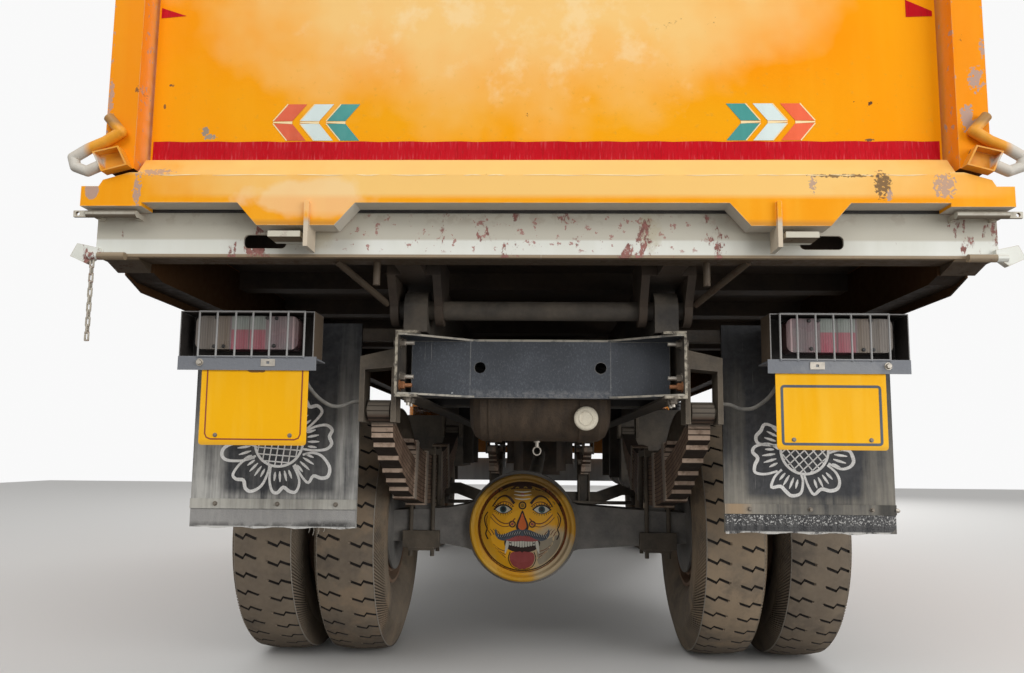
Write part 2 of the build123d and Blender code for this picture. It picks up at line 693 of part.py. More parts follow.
def cab_parts():
    wall = CAB_WALL
    outer = cab_block(0)
    shell = outer - cab_block(wall)
    wide = CAB_HALF + 500
    behind = CAB_REAR - 200
    ahead = CAB_NOSE + 300
    above = CAB_TOP + 200
    arch = rod((-wide, FRONT_Y, TYRE_R), (wide, FRONT_Y, TYRE_R), ARCH_R)
    shell = shell - arch
    screen = [
        (160 - CAB_HALF, CAB_TOP - 760), (CAB_HALF - 160, CAB_TOP - 760), (CAB_HALF - 200, CAB_TOP - 170),
        (200 - CAB_HALF, CAB_TOP - 170),
    ]
    rear_window = [(-600, CAB_TOP - 710), (600, CAB_TOP - 710), (600, CAB_TOP - 320), (-600, CAB_TOP - 320)]
    head, sill = CAB_TOP - 160, DOOR_SILL
    back, front_edge = DOOR_REAR, DOOR_FRONT
    belt = CAB_TOP - 820
    door = [(back, sill), (back, head), (front_edge - 220, head), (front_edge, belt), (front_edge, sill)]
    gap = DOOR_GAP
    frame_cut = [
        (back - gap, sill - gap), (back - gap, head + gap), (front_edge - 220 + gap, head + gap),
        (front_edge + gap, belt + gap), (front_edge + gap, sill - gap),
    ]
    window = [
        (back + 70, belt + 20), (back + 70, head - 80), (front_edge - 260, head - 80),
        (front_edge - 80, belt + 30),
    ]
    nose_low = CAB_NOSE_BOTTOM - 160
    front_area = [
        (front_edge + 40, nose_low), (front_edge + 40, belt + 10), (front_edge - 160, ROOF_SPLIT),
        (ahead, ROOF_SPLIT), (ahead, nose_low),
    ]
    screen_cut = prism_y(screen, front_edge - 350, ahead)
    rear_cut = prism_y(rear_window, CAB_REAR - 50, CAB_REAR + 100)
    roof = shell & block((-wide, wide), (behind, ahead), (ROOF_SPLIT, above))
    below = shell & block((-wide, wide), (behind, ahead), (0, ROOF_SPLIT))
    front_tool = prism_x(front_area, -wide, wide)
    front = (below & front_tool) - screen_cut
    rear = (below & block((-wide, wide), (behind, CAB_REAR + 100), (0, above))) - rear_cut
    rear -= block((wall - CAB_HALF, CAB_HALF - wall), (behind, CAB_REAR + 100), (0, CAB_FLOOR))
    sides = (below - front_tool) & block((-wide, wide), (CAB_REAR + 100, ahead), (0, above))
    door_tool = prism_x(door, -wide, wide)
    right = block((0, wide), (behind, ahead), (0, above))
    left = block((-wide, 0), (behind, ahead), (0, above))
    window_cut = prism_x(window, -wide, wide)
    doors = (sides & door_tool) - window_cut
    frames = sides - prism_x(frame_cut, -wide, wide)
    for z in HINGE_HEIGHTS:
        fixed, moving = door_hinge(z)
        frames += fixed + flipped(fixed)
        doors += moving + flipped(moving)
    pane = cab_block(16) - cab_block(22)
    glass = (pane & screen_cut) + (pane & rear_cut)
    door_glass = pane & window_cut & block((-wide, wide), (back + 40, front_edge - 50), (belt, head))
    lower = CAB_NOSE_BOTTOM + 60
    grille_cut = block((-560, 560), (CAB_NOSE - 140, ahead), (lower, GRILLE_TOP))
    front = front - grille_cut
    for side in (-1, 1):
        x = side * 860
        front = front - rod((x, CAB_NOSE - 140, 1080), (x, ahead, 1080), 95)
    cavity = cab_block(wall)
    floor = cavity & block((-wide, wide), (behind, ahead), (CAB_FLOOR, CAB_FLOOR + 30))
    bay = block((-340, 340), (FRONT_Y - 380, FRONT_Y + 880), (0, HUMP_TOP - 40))
    floor += block((-380, 380), (FRONT_Y - 420, FRONT_Y + 920), (CAB_FLOOR, HUMP_TOP))
    floor -= bay
    for side in (-1, 1):
        for y in (CAB_REAR + 120, FRONT_Y + 850):
            x = side * 407
            floor += block((x - 40, x + 40), (y, y + 80), (RAIL_TOP, CAB_FLOOR))
    y, z = CAB_NOSE - 390, CAB_FLOOR + 310
    dash = prism_x([(y, z), (y, z + 140), (y + 110, z + 240), (ahead, z + 240), (ahead, z)], -wide, wide)
    dash = dash & cavity
    x = 520
    column = rod((x, y + 50, z + 90), (x, y - 182, z + 290.4), 30)
    tilt = Plane(origin=(x, y - 175, z + 285), z_dir=(0, -220, 190))
    bottom = (Align.CENTER, Align.CENTER, Align.MIN)
    ring = Cylinder(225, 24, align=bottom) - Cylinder(200, 24, align=bottom)
    ring += Pos(0, 0, 12) * Box(410, 34, 20) + Cylinder(50, 24, align=bottom)
    dash = dash + column + tilt * ring
    return {
        "cab_roof": [roof], "cab_front": [front], "cab_rear": [rear], "cab_sides": [frames],
        "door_left": [doors & left], "door_right": [doors & right], "cab_glass": [glass],
        "door_glass_left": [door_glass & left], "door_glass_right": [door_glass & right],
        "cab_floor": [floor], "dashboard": [dash],
    }


def bumper():
    y1 = FRONT_Y + FRONT_OVERHANG
    outline = [
        (-1180, y1 - 120), (-1150, y1 - 40), (-1000, y1), (1000, y1), (1150, y1 - 40),
        (1180, y1 - 120), (1170, y1 - 124), (1142, y1 - 50), (998, y1 - 8), (-998, y1 - 8),
        (-1142, y1 - 50), (-1170, y1 - 124),
    ]
    bar = prism_z(outline, 560, 800)
    for side in (-1, 1):
        x = side * (FRAME_HALF - 40)
        bar += block((x - 30, x + 30), (FRAME_FRONT, y1 - 8), (700, 760))
        bar += block((x - 30, x + 30), (FRAME_FRONT, FRAME_FRONT + 45), (700, RAIL_TOP - 20))
    return [bar]


def grille():
    low, high = CAB_NOSE_BOTTOM + 60, GRILLE_TOP
    y = CAB_NOSE - 40
    bars = block((-560, 560), (y, y + 30), (low, high))
    bars -= block((-540, 540), (y - 5, y + 40), (low + 20, high - 20))
    count = 7
    for number in range(count):
        z = low + 20 + (high - low - 40) * (number + 0.5) / count
        bars += block((-545, 545), (y + 4, y + 26), (z - 14, z + 14))
    for x in (-280, 0, 280):
        bars += block((x - 10, x + 10), (y, y + 12), (low + 5, high - 5))
    return [bars]


def headlamps():
    profile = [(0, 0), (0, 95), (30, 95), (45, 80), (62, 40), (66, 0)]
    lamp = Pos(860, CAB_NOSE - 40, 1080) * turned_y(profile)
    return pair(lamp)


def mirrors():
    low, high = 1850.0, 2200.0
    x, y = CAB_HALF + 100, 2950.0
    arm = block((x - 70, x + 70), (y - 15, y + 15), (low, high))
    for z, reach in ((1560, low + 60), (1760, high - 60)):
        arm += block((CAB_HALF, CAB_HALF + 16), (2900, 2936), (z - 18, z + 18))
        arm += rod((CAB_HALF + 14, 2918, z), (x, y, reach), 10)
    return pair(arm)


def seats():
    parts = []
    for side in (-1, 1):
        x = side * 640
        base = block((x - 220, x + 220), (1760, 2200), (CAB_FLOOR + 30 + SEAT_GAP, 1480))
        cushion = block((x - 250, x + 250), (1740, 2250), (1480, 1600))
        back = prism_x([(1740, 1560), (1860, 1560), (1700, 2200), (1590, 2200)], x - 250, x + 250)
        parts.append(base + cushion + back)
    return parts


def front_mudguards():
    t = 5.0
    low, high = 830.0, CAB_HALF
    sheet = rod((low, FRONT_Y, TYRE_R), (high, FRONT_Y, TYRE_R), ARCH_R)
    sheet -= rod((low - 5, FRONT_Y, TYRE_R), (high + 5, FRONT_Y, TYRE_R), ARCH_R - t)
    sheet -= block((0, 2000), (0, 4000), (-500, TYRE_R + 60))
    for y in (FRONT_Y - 500, FRONT_Y + 400):
        reach = math.sqrt(ARCH_R ** 2 - (abs(y + 30 - FRONT_Y)) ** 2)
        sheet += block((FRAME_HALF, low + 20), (y, y + 40), (RAIL_BOTTOM + 20, RAIL_BOTTOM + 60))
        sheet += block((low, low + 20), (y, y + 40), (TYRE_R + reach - 60, RAIL_BOTTOM + 60))
    sheet -= rod((low - 5, FRONT_Y, TYRE_R), (high + 5, FRONT_Y, TYRE_R), ARCH_R - t)
    # Steps under the door, hung from an arm off the rail
    y0, y1 = STEP_Y
    top = RAIL_BOTTOM + 60
    step = block((high - 230, high - 222), (y0, y1), (STEP_LEVELS[0], top))
    step += block((FRAME_HALF, high - 225), (y0 + 90, y1 - 90), (top - 40, top))
    for z in STEP_LEVELS:
        tread = block((high - 230, high - 20), (y0, y1), (z, z + 34))
        tread -= block((high - 210, high - 40), (y0 + 15, y1 - 15), (z + 26, z + 40))
        step += tread
    return pair(sheet, step)


def bed_floor():
    y0, y1 = SILL_Y + SILL_D, BED_FRONT - RIB_D
    floor = block((-SIDE_IN, SIDE_IN), (SILL_Y + 6, y1), (FLOOR_Z - FLOOR_T, FLOOR_Z))
    bearer_low = FLOOR_Z - FLOOR_T - BEARER_H
    count = 9
    for number in range(count):
        y = y0 + 150 + (y1 - y0 - 300) * number / (count - 1)
        floor += block((-SIDE_IN, SIDE_IN), (y - 40, y + 40), (bearer_low, FLOOR_Z - FLOOR_T))
    low, high = RUNNER_X - RUNNER_W / 2, RUNNER_X + RUNNER_W / 2
    for side in (-1, 1):
        x0, x1 = sorted((side * low, side * high))
        floor += block((x0, x1), (y0, y1), (BED_BOTTOM, bearer_low))
    # Saddle brackets round the runner ends
    inner = (RUNNER_X - RUNNER_W / 2 - 46, RUNNER_X - RUNNER_W / 2 - 21)
    outer = (RUNNER_X + RUNNER_W / 2 + 21, RUNNER_X + RUNNER_W / 2 + 46)
    leg = [
        (PIVOT_Y - 110, BED_BOTTOM), (PIVOT_Y - 46, PIVOT_Z), (PIVOT_Y + 46, PIVOT_Z),
        (PIVOT_Y + 110, BED_BOTTOM),
    ]
    legs = None
    for x0, x1 in (inner, outer):
        plate = prism_x(leg, x0, x1) + rod((x0, PIVOT_Y, PIVOT_Z), (x1, PIVOT_Y, PIVOT_Z), 50)
        plate += block((x0, x1), (PIVOT_Y - 110, PIVOT_Y + 110), (BED_BOTTOM, bearer_low))
        legs = plate if legs is None else legs + plate
    legs += block((inner[0], outer[1]), (PIVOT_Y - 110, PIVOT_Y + 110), (BED_BOTTOM, bearer_low))
    legs -= rod((0, PIVOT_Y, PIVOT_Z), (600, PIVOT_Y, PIVOT_Z), PIVOT_R + PIN_GAP)
    floor += legs + flipped(legs)
    # Lugs for the lift rod's eye
    for side in (-1, 1):
        x0, x1 = sorted((side * 45, side * 63))
        floor += block((x0, x1), (LIFT_Y - 70, LIFT_Y + 70), (LIFT_Z - 55, FLOOR_Z - FLOOR_T))
    floor += block((-RUNNER_X, RUNNER_X), (LIFT_Y - 60, LIFT_Y + 60), (bearer_low, FLOOR_Z - FLOOR_T))
    return [floor]


def bed_sides():
    y0, y1 = SILL_Y + SILL_D, BED_FRONT
    wall = block((SIDE_IN, SIDE_IN + SIDE_T), (y0, y1), (FLOOR_Z, SIDE_TOP))
    # Bottom member, its underside rising to the sill at the rear, with a lip along its outer edge
    low = BED_BOTTOM - SIDE_DROP
    rise = BED_BOTTOM - 26
    member = [(y0, rise), (y0 + 54, low), (y1, low), (y1, FLOOR_Z + 20), (y0, FLOOR_Z + 20)]
    wall += prism_x(member, SIDE_IN, SIDE_OUT)
    lip = [(y0, rise - 6), (y0 + 90, low - SIDE_LIP), (y1, low - SIDE_LIP), (y1, low + 5), (y0, rise + 5)]
    wall += prism_x(lip, SIDE_OUT - 6, SIDE_OUT)
    wall += block((SIDE_IN, SIDE_OUT), (y0, y1), (SIDE_TOP - 80, SIDE_TOP))
    count = 8
    for number in range(count):
        y = y0 + 300 + (y1 - y0 - 360) * number / (count - 1)
        rib = [(SIDE_IN, y - 60), (SIDE_OUT - 12, y - 35), (SIDE_OUT - 12, y + 35), (SIDE_IN, y + 60)]
        wall += prism_z(rib, FLOOR_Z, SIDE_TOP - 60)
    post = [
        (y0 + 40, SILL_TOP), (SILL_Y, SILL_TOP), (SILL_Y, POST_LOW), (SILL_Y - 57, POST_LOW),
        (SILL_Y - 57, SIDE_TOP), (y0 + 40, SIDE_TOP),
    ]
    wall += prism_x(post, SIDE_IN, SIDE_OUT)
    # Ears for the tailgate's top pins
    ear = [
        (GATE_HINGE_Y - 40, SIDE_TOP - 10), (GATE_HINGE_Y - 25, GATE_HINGE_Z + 25),
        (GATE_HINGE_Y + 25, GATE_HINGE_Z + 25), (GATE_HINGE_Y + 60, SIDE_TOP - 10),
    ]
    wall += prism_x(ear, SIDE_IN + 20, SIDE_IN + 40)
    wall += rod((GATE_HALF - 60, GATE_HINGE_Y, GATE_HINGE_Z), (SIDE_IN + 30, GATE_HINGE_Y, GATE_HINGE_Z), 16)
    return pair(wall)


def bed_headboard():
    top = FLOOR_Z + HEAD_H
    y0, y1 = BED_FRONT - RIB_D, BED_FRONT
    board = block((-SIDE_IN, SIDE_IN), (y0, y0 + SIDE_T), (FLOOR_Z - FLOOR_T, top))
    board += block((-SIDE_IN, SIDE_IN), (y0, y1), (top - 80, top))
    board += block((-SIDE_IN, SIDE_IN), (y0, y1), (FLOOR_Z - FLOOR_T - 60, FLOOR_Z + 60))
    for x in (-900, -450, 0, 450, 900):
        board += block((x - 40, x + 40), (y0, y1), (FLOOR_Z, top - 60))
    return [board]


def rear_sill():
    low = FLOOR_Z - SILL_H
    t = 7.0
    y = SILL_Y
    section = [
        (y + SILL_D, low), (y - 3, low), (y - 3, low + t), (y, low + t), (y, SILL_TOP),
        (y + SILL_D, SILL_TOP), (y + SILL_D, SILL_TOP - t), (y + t, SILL_TOP - t), (y + t, low + t),
        (y + SILL_D, low + t),
    ]
    sill = prism_x(section, -SILL_HALF, SILL_HALF)
    # Wedge under each end, joining the slope of the side's bottom member
    slope = [(y, low), (y + SILL_D, low), (y + SILL_D, BED_BOTTOM - 26)]
    wedge = prism_x(slope, SIDE_IN + 8, SILL_HALF - 20)
    end_plate = [
        (SILL_HALF - 15, low + 22), (SILL_HALF + 46, low + 35), (SILL_HALF + 64, low - 2),
        (SILL_HALF + 18, low - 23), (SILL_HALF - 15, low + 2),
    ]
    fittings = wedge + prism_y(end_plate, y - 14, y + 6)
    # Bar along the lower edge, and the bar with a flat tongue under the tailgate's ear
    z = SILL_TOP - 19
    fittings += rod((1160, y - 11, low - 1), (SILL_HALF + 15, y - 11, low - 1), 11)
    fittings += rod((1116, y - 42, z), (SILL_HALF + 6, y - 42, z), 10)
    for x in (1125, SILL_HALF - 15):
        fittings += block((x - 7, x + 7), (y - 42, y + 2), (z - 7, z + 7))
    x = SILL_HALF + 30
    tongue = block((SILL_HALF, SILL_HALF + 42), (y - 46, y - 38), (z - 9, z + 9))
    fittings += tongue - rod((x, y - 50, z), (x, y - 30, z), 6)
    # Hook finger under the tailgate's tab
    fittings += block((650, 738), (y - 75, y + 2), (low + 37, low + 53))
    # Brace down to the pivot's saddle, and a stub beside it
    plate = RUNNER_X + RUNNER_W / 2 + 46
    fittings += rod((583, y + 48, low + 2), (plate + 9, PIVOT_Y - 45, PIVOT_Z + 13), BRACE_R)
    fittings += rod((468, y + 55, low - 66), (468, y + 55, low + 2), BRACE_R)
    sill = sill + fittings + flipped(fittings)
    for side in (-1, 1):
        x = side * 772
        cut = block((x - 60, x + 60), (y - 5, y + 20), (low + 25, low + 64))
        sill -= fillet(cut.edges().filter_by(Axis.Y), 15)
    # Chain at the left corner, its links turned in pairs
    x = -SILL_HALF - 2
    for number in range(11):
        z = low - 9 - 20.6 * number
        link = block((-6, 6), (-2, 2), (z - 26, z)) - block((-3, 3), (-4, 4), (z - 22, z - 4))
        sill += Pos(x, y - 11, 0) * Rot(0, 0, 90 * (number % 2)) * link
    return [sill]


def lock_handles():
    """Bent lever bar held by an open box bracket on the post's rear face."""
    face = SILL_Y - 57
    y = face - 15
    path = [
        (1195, 1752), (1158, 1710), (1200, 1682), (1245, 1662), (1286, 1636), (1278, 1610),
        (1245, 1598), (1210, 1614),
    ]
    box = [(1156, 1665), (1227, 1648), (1198, 1592), (1128, 1611)]
    middle_x, middle_z = 1177, 1629
    hole = [(middle_x + (x - middle_x) * 0.87, middle_z + (z - middle_z) * 0.87) for x, z in box]
    lever = prism_y(box, face - 30, face - SEAT_GAP) - prism_y(hole, face - 31, face - 4)
    for (x0, z0), (x1, z1) in zip(path, path[1:]):
        lever += rod((x0, y, z0), (x1, y, z1), LEVER_R)
    for x, z in path[1:-1]:
        lever += Pos(x, y, z) * Sphere(LEVER_R)
    return pair(lever)


def tailgate_panel():
    low, high = FLOOR_Z + GATE_GAP, SIDE_TOP - 10
    y = SILL_Y
    panel = block((-GATE_HALF, GATE_HALF), (y, y + GATE_T), (low, high))
    panel += block((-GATE_HALF, GATE_HALF), (y - 50, y + GATE_T), (high - 70, high))
    for side in (-1, 1):
        x = side * (GATE_HALF - 30)
        arm = [
            (SILL_Y - 50, high - 40), (SILL_Y - 50, high), (GATE_HINGE_Y - 26, GATE_HINGE_Z + 22),
            (GATE_HINGE_Y, GATE_HINGE_Z + 28), (GATE_HINGE_Y + 24, GATE_HINGE_Z), (SILL_Y + 6, high - 40),
        ]
        panel += prism_x(arm, x - 10, x + 10)
        y, z = GATE_HINGE_Y, GATE_HINGE_Z
        panel += rod((x - 12, y, z), (x + 12, y, z), 28)
        panel -= rod((x - 20, y, z), (x + 20, y, z), 16 + PIN_GAP)
    return [panel]


def tailgate_rail():
    y = SILL_Y
    low, high = SILL_TOP + 6, SILL_TOP + 6 + GATE_RAIL_H
    back = y - GATE_GAP - GATE_RAIL_D
    section = [
        (y - GATE_GAP, low), (back, low), (back, high), (y - 22, high + 60), (y, high + 60),
        (y, FLOOR_Z + GATE_GAP), (y - GATE_GAP, FLOOR_Z + GATE_GAP),
    ]
    rail = prism_x(section, -GATE_HALF, GATE_HALF)
    # Ear past the post, its top stepped down outward
    ear = [
        (GATE_HALF - 20, low - 10), (GATE_EAR, low - 10), (GATE_EAR, low + 46), (1214, low + 46),
        (1203, low + 64), (1130, low + 85), (GATE_HALF - 20, low + 85),
    ]
    # Tab over the sill's finger, with a fin beside the finger
    tab = [(504, low + 2), (561, low - 63), (773, low - 63), (830, low + 2)]
    fittings = prism_y(ear, back, y - 7) + prism_y(tab, back, y - 7)
    fittings += block((628, 640), (back - 12, y - 9), (low - 124, low + 2))
    return [rail + fittings + flipped(fittings)]


def lift_cylinder():
    foot = Vector(0, FOOT_Y, FOOT_Z)
    eye = Vector(0, LIFT_Y, LIFT_Z)
    along = (eye - foot).normalized()
    closed = (eye - foot).length
    swing = math.radians(TIP_ANGLE)
    dy, dz = LIFT_Y - PIVOT_Y, LIFT_Z - PIVOT_Z
    raised = Vector(
        0, PIVOT_Y + dy * math.cos(swing) - dz * math.sin(swing),
        PIVOT_Z + dy * math.sin(swing) + dz * math.cos(swing),
    )
    stroke = (raised - foot).length - closed
    tail = BARREL_L - ROD_STAY - stroke
    mouth = foot + along * BARREL_L
    barrel = rod(tuple(foot + along * 50), tuple(mouth), BARREL_R)
    barrel += rod(tuple(mouth - along * 60), tuple(mouth), BARREL_R + 8)
    barrel += rod((-40, FOOT_Y, FOOT_Z), (40, FOOT_Y, FOOT_Z), 60)
    barrel -= rod((-50, FOOT_Y, FOOT_Z), (50, FOOT_Y, FOOT_Z), 30 + PIN_GAP)
    barrel -= rod(tuple(foot + along * (tail - 10)), tuple(mouth + along * 5), ROD_R + PIN_GAP)
    ram = rod(tuple(foot + along * tail), tuple(eye - along * 20), ROD_R)
    ram += rod((-40, LIFT_Y, LIFT_Z), (40, LIFT_Y, LIFT_Z), 45)
    return [barrel], [ram]


def foot_shaft():
    half = FRAME_HALF - RAIL_T
    return rod((-half, FOOT_Y, FOOT_Z), (half, FOOT_Y, FOOT_Z), 30)


# Lamp lead routes in (x, y, z), right-hand side
LEAD_R = 6.0
LEAD_Y = REAR_Y - REAR_EYE_HALF
LEAD_START = REAR_SPRING_X + 60 + SEAT_GAP
LEAD_END = 732.0
LEAD = [
    (LEAD_START, LEAD_Y, 1000), (LEAD_START + 30, LEAD_Y, 1000), (LEAD_START + 60, LEAD_Y - 8, 984),
    (LEAD_START + 96, LEAD_Y - 20, 984), (LEAD_END - 26, LEAD_Y - 42, 1012), (LEAD_END, LEAD_Y - 76, 1056),
    (LEAD_END, LEAD_Y - 76, LAMP_LOW - 4 - SEAT_GAP),
]


def lamp_leads():
    points = [Vector(*point) for point in LEAD]
    radii = []
    for before, here, after in zip(points, points[1:], points[2:]):
        turn = math.radians((here - before).get_angle(after - here))
        shorter = min((here - before).length, (after - here).length)
        radii.append(0.45 * shorter / math.tan(turn / 2))
    route = FilletPolyline(*[tuple(p) for p in points], radius=radii)
    start = Plane(origin=tuple(points[0]), z_dir=tuple(points[1] - points[0]))
    return pair(sweep(start * Circle(LEAD_R), path=route))


os.makedirs("parts", exist_ok=True)
cab = cab_parts()
barrel, ram = lift_cylinder()
members = crossmembers()
nodes = {
    "frame_rails": frame_rails(), "crossmembers": members + [foot_shaft()], "subframe": subframe(),
    "leaf_springs": leaf_springs(), "spring_mounts": spring_mounts(), "rear_axle": rear_axle(),
    "diff_cover": diff_cover(), "prop_shaft": prop_shaft(), "air_tank": air_tank(), "engine": engine(),
    "radiator": radiator(), "front_axle": front_axle(), "fuel_tank": fuel_tank(),
    "battery_box": battery_box(),
    "lamp_boxes": lamp_boxes(), "tail_lamps": tail_lamps(), "bracket_arms": bracket_arms(),
    "mud_flaps": mud_flaps(), "lamp_leads": lamp_leads(), "bumper": bumper(), "headlamps": headlamps(),
    "grille": grille(), "mirrors": mirrors(), "seats": seats(), "front_mudguards": front_mudguards(),
    "knuckle_right": [knuckle()], "knuckle_left": [flipped(knuckle())], "track_rod": track_rod(),
    "bed_floor": bed_floor(), "bed_sides": bed_sides(), "bed_headboard": bed_headboard(),
    "rear_sill": rear_sill(), "lock_handles": lock_handles(), "tailgate_panel": tailgate_panel(),
    "tailgate_rail": tailgate_rail(), "cylinder_barrel": barrel, "cylinder_rod": ram,
}
nodes.update(cab)
twin = [Pos(0, REAR_Y, 0) * tyre(REAR_X + side * TWIN_SPACING / 2) for side in (-1, 1)]
nodes["rear_tyres_right"] = twin
nodes["rear_tyres_left"] = [flipped(t) for t in twin]
nodes["rear_rims_right"] = [rear_rims()]
nodes["rear_rims_left"] = [flipped(rear_rims())]
nodes["front_tyre_right"] = [Pos(0, FRONT_Y, 0) * tyre(FRONT_X)]
nodes["front_tyre_left"] = [flipped(t) for t in nodes["front_tyre_right"]]
nodes["front_rim_right"] = [front_rim()]
nodes["front_rim_left"] = [flipped(front_rim())]
for name, parts in nodes.items():
    save(name, *parts)
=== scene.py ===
import math
import random
import bmesh
import bpy
from mathutils import Matrix, Vector
from mathutils.bvhtree import BVHTree


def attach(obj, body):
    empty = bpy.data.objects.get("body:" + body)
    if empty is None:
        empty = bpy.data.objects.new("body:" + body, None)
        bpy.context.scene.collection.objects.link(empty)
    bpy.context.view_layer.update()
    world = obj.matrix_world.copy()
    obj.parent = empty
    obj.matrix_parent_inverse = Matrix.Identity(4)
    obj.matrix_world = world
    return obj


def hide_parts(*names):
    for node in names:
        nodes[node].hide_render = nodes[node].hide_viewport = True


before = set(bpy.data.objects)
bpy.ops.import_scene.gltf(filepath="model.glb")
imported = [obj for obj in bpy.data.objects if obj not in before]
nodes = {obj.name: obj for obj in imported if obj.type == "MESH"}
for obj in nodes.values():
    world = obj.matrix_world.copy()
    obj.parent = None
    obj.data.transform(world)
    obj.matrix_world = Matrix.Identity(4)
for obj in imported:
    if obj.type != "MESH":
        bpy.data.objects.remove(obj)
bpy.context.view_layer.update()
random.seed(11)

# Places in the row frame, metres
REAR_Y, FRONT_Y = -1.710, 1.890
AXLE_Z = 0.525
FRAME_END = -2.836
COVER_X = -0.072

# Materials by name, and the colour of what settles on enamel
LOOKS = {}
ROAD_DUST = (0.36, 0.24, 0.15)


class Finish:
    """A node material whose patterns are laid out in the row frame."""

    def __init__(self, name, metallic=0.0, roughness=0.5, gloss=0.5):
        self.material = LOOKS[name] = bpy.data.materials.new(name)
        self.material.use_nodes = True
        self.tree = self.material.node_tree
        self.shader = self.tree.nodes["Principled BSDF"]
        for socket, number in (
                ("Metallic", metallic), ("Roughness", roughness), ("Specular IOR Level", gloss)):
            self.shader.inputs[socket].default_value = number
        places = self.node("ShaderNodeTexCoord")
        self.coords, self.facing = places.outputs["Object"], places.outputs["Normal"]
        self.known = {}

    def node(self, kind, values=()):
        node = self.tree.nodes.new(kind)
        for name, number in dict(values).items():
            node.inputs[name].default_value = number
        return node

    def link(self, out, socket):
        self.tree.links.new(out, socket)

    def noise(self, scale, detail=4.0, rough=0.55, stretch=(1, 1, 1), shift=0.0):
        node = self.node("ShaderNodeTexNoise", {"Scale": scale, "Detail": detail, "Roughness": rough})
        place = self.node("ShaderNodeMapping", {
            "Location": (shift, shift * 0.7, shift * 1.3), "Scale": stretch})
        self.link(self.coords, place.inputs["Vector"])
        self.link(place.outputs["Vector"], node.inputs["Vector"])
        return node.outputs["Fac"]

    def spread(self, value, low, high, start=0.0, end=1.0):
        """Maps low to start and high to end, with nothing past them."""
        node = self.node("ShaderNodeMapRange", {
            "From Min": low, "From Max": high, "To Min": start, "To Max": end})
        self.link(value, node.inputs["Value"])
        return node.outputs["Result"]

    def calc(self, a, b=0.0, kind="MULTIPLY"):
        node = self.node("ShaderNodeMath")
        node.operation = kind
        for socket, value in zip(node.inputs, (a, b)):
            if isinstance(value, (int, float)):
                socket.default_value = value
            else:
                self.link(value, socket)
        return node.outputs["Value"]

    def mix(self, amount, a, b):
        node = self.node("ShaderNodeMix")
        node.data_type = "RGBA"
        # Inputs 0, 6 and 7, and output 2, are the factor and the two colours, and the mixed colour
        for socket, value in zip((node.inputs[0], node.inputs[6], node.inputs[7]), (amount, a, b)):
            if isinstance(value, tuple):
                socket.default_value = (*value, 1)
            elif isinstance(value, float):
                socket.default_value = value
            else:
                self.link(value, socket)
        return node.outputs[2]

    def place(self, kind):
        """x, y or z of the place, nx, ny or nz of the normal, or wide for the distance from the middle."""
        if kind == "wide":
            return self.calc(self.place("x"), 0.0, "ABSOLUTE")
        if kind not in self.known:
            turned = kind[0] == "n"
            node = self.node("ShaderNodeSeparateXYZ")
            self.link(self.facing if turned else self.coords, node.inputs[0])
            self.known.update({
                ("n" if turned else "") + axis: node.outputs[k] for k, axis in enumerate("xyz")})
        return self.known[kind]

    def band(self, kind, low, high, soft=0.001):
        """1 between low and high, 0 outside."""
        value = self.place(kind)
        rise = self.spread(value, low - soft, low + soft)
        return self.calc(rise, self.spread(value, high - soft, high + soft, 1.0, 0.0))

    def blob(self, cx, cz, rx, rz, ragged=1.5, soft=0.1, scale=40.0):
        """1 inside an ellipse in x and z whose edge is ragged."""
        a = self.calc(self.calc(self.place("x"), cx, "SUBTRACT"), 1 / rx)
        b = self.calc(self.calc(self.place("z"), cz, "SUBTRACT"), 1 / rz)
        d = self.calc(self.calc(a, a), self.calc(b, b), "ADD")
        rag = self.calc(self.calc(self.noise(scale, 3), 0.5, "SUBTRACT"), ragged * 2)
        return self.spread(self.calc(d, rag, "ADD"), 1 - soft, 1 + soft, 1.0, 0.0)

    def zones(self, colour, rows):
        """Lays each row's colour, at its share, where all of its conditions hold."""
        for tint, share, *conditions in rows:
            mask = share
            for kind, *numbers in conditions:
                if kind == "worn":
                    part = self.spread(self.noise(numbers[0], 6, 0.65, shift=6.0), numbers[1], numbers[2])
                elif kind == "streak":
                    part = self.noise(numbers[0], 4, 0.6, (3.0, 3.0, 0.25))
                    part = self.spread(part, numbers[1], numbers[2])
                else:
                    part = self.blob(*numbers) if kind == "blob" else self.band(kind, *numbers)
                mask = self.calc(part, mask)
            colour = self.mix(mask, colour, tint)
        return colour

    def edges(self, radius=0.004):
        """1 along the edges of the form, broken up as wear is."""
        node = self.node("ShaderNodeBevel", {"Radius": radius})
        node.samples = 4
        turn = self.node("ShaderNodeVectorMath")
        turn.operation = "DOT_PRODUCT"
        self.link(node.outputs["Normal"], turn.inputs[0])
        self.link(self.node("ShaderNodeNewGeometry").outputs["Normal"], turn.inputs[1])
        bent = self.spread(turn.outputs["Value"], 0.70, 0.97, 1.0, 0.0)
        return self.calc(bent, self.spread(self.noise(28.0, 4, shift=5.0), 0.38, 0.58))

    def done(self, colour, rough, bump=None, depth=0.002):
        self.link(colour, self.shader.inputs["Base Color"])
        self.link(rough, self.shader.inputs["Roughness"])
        if bump is not None:
            node = self.node("ShaderNodeBump", {"Strength": 0.6, "Distance": depth})
            self.link(bump, node.inputs["Height"])
            self.link(node.outputs["Normal"], self.shader.inputs["Normal"])


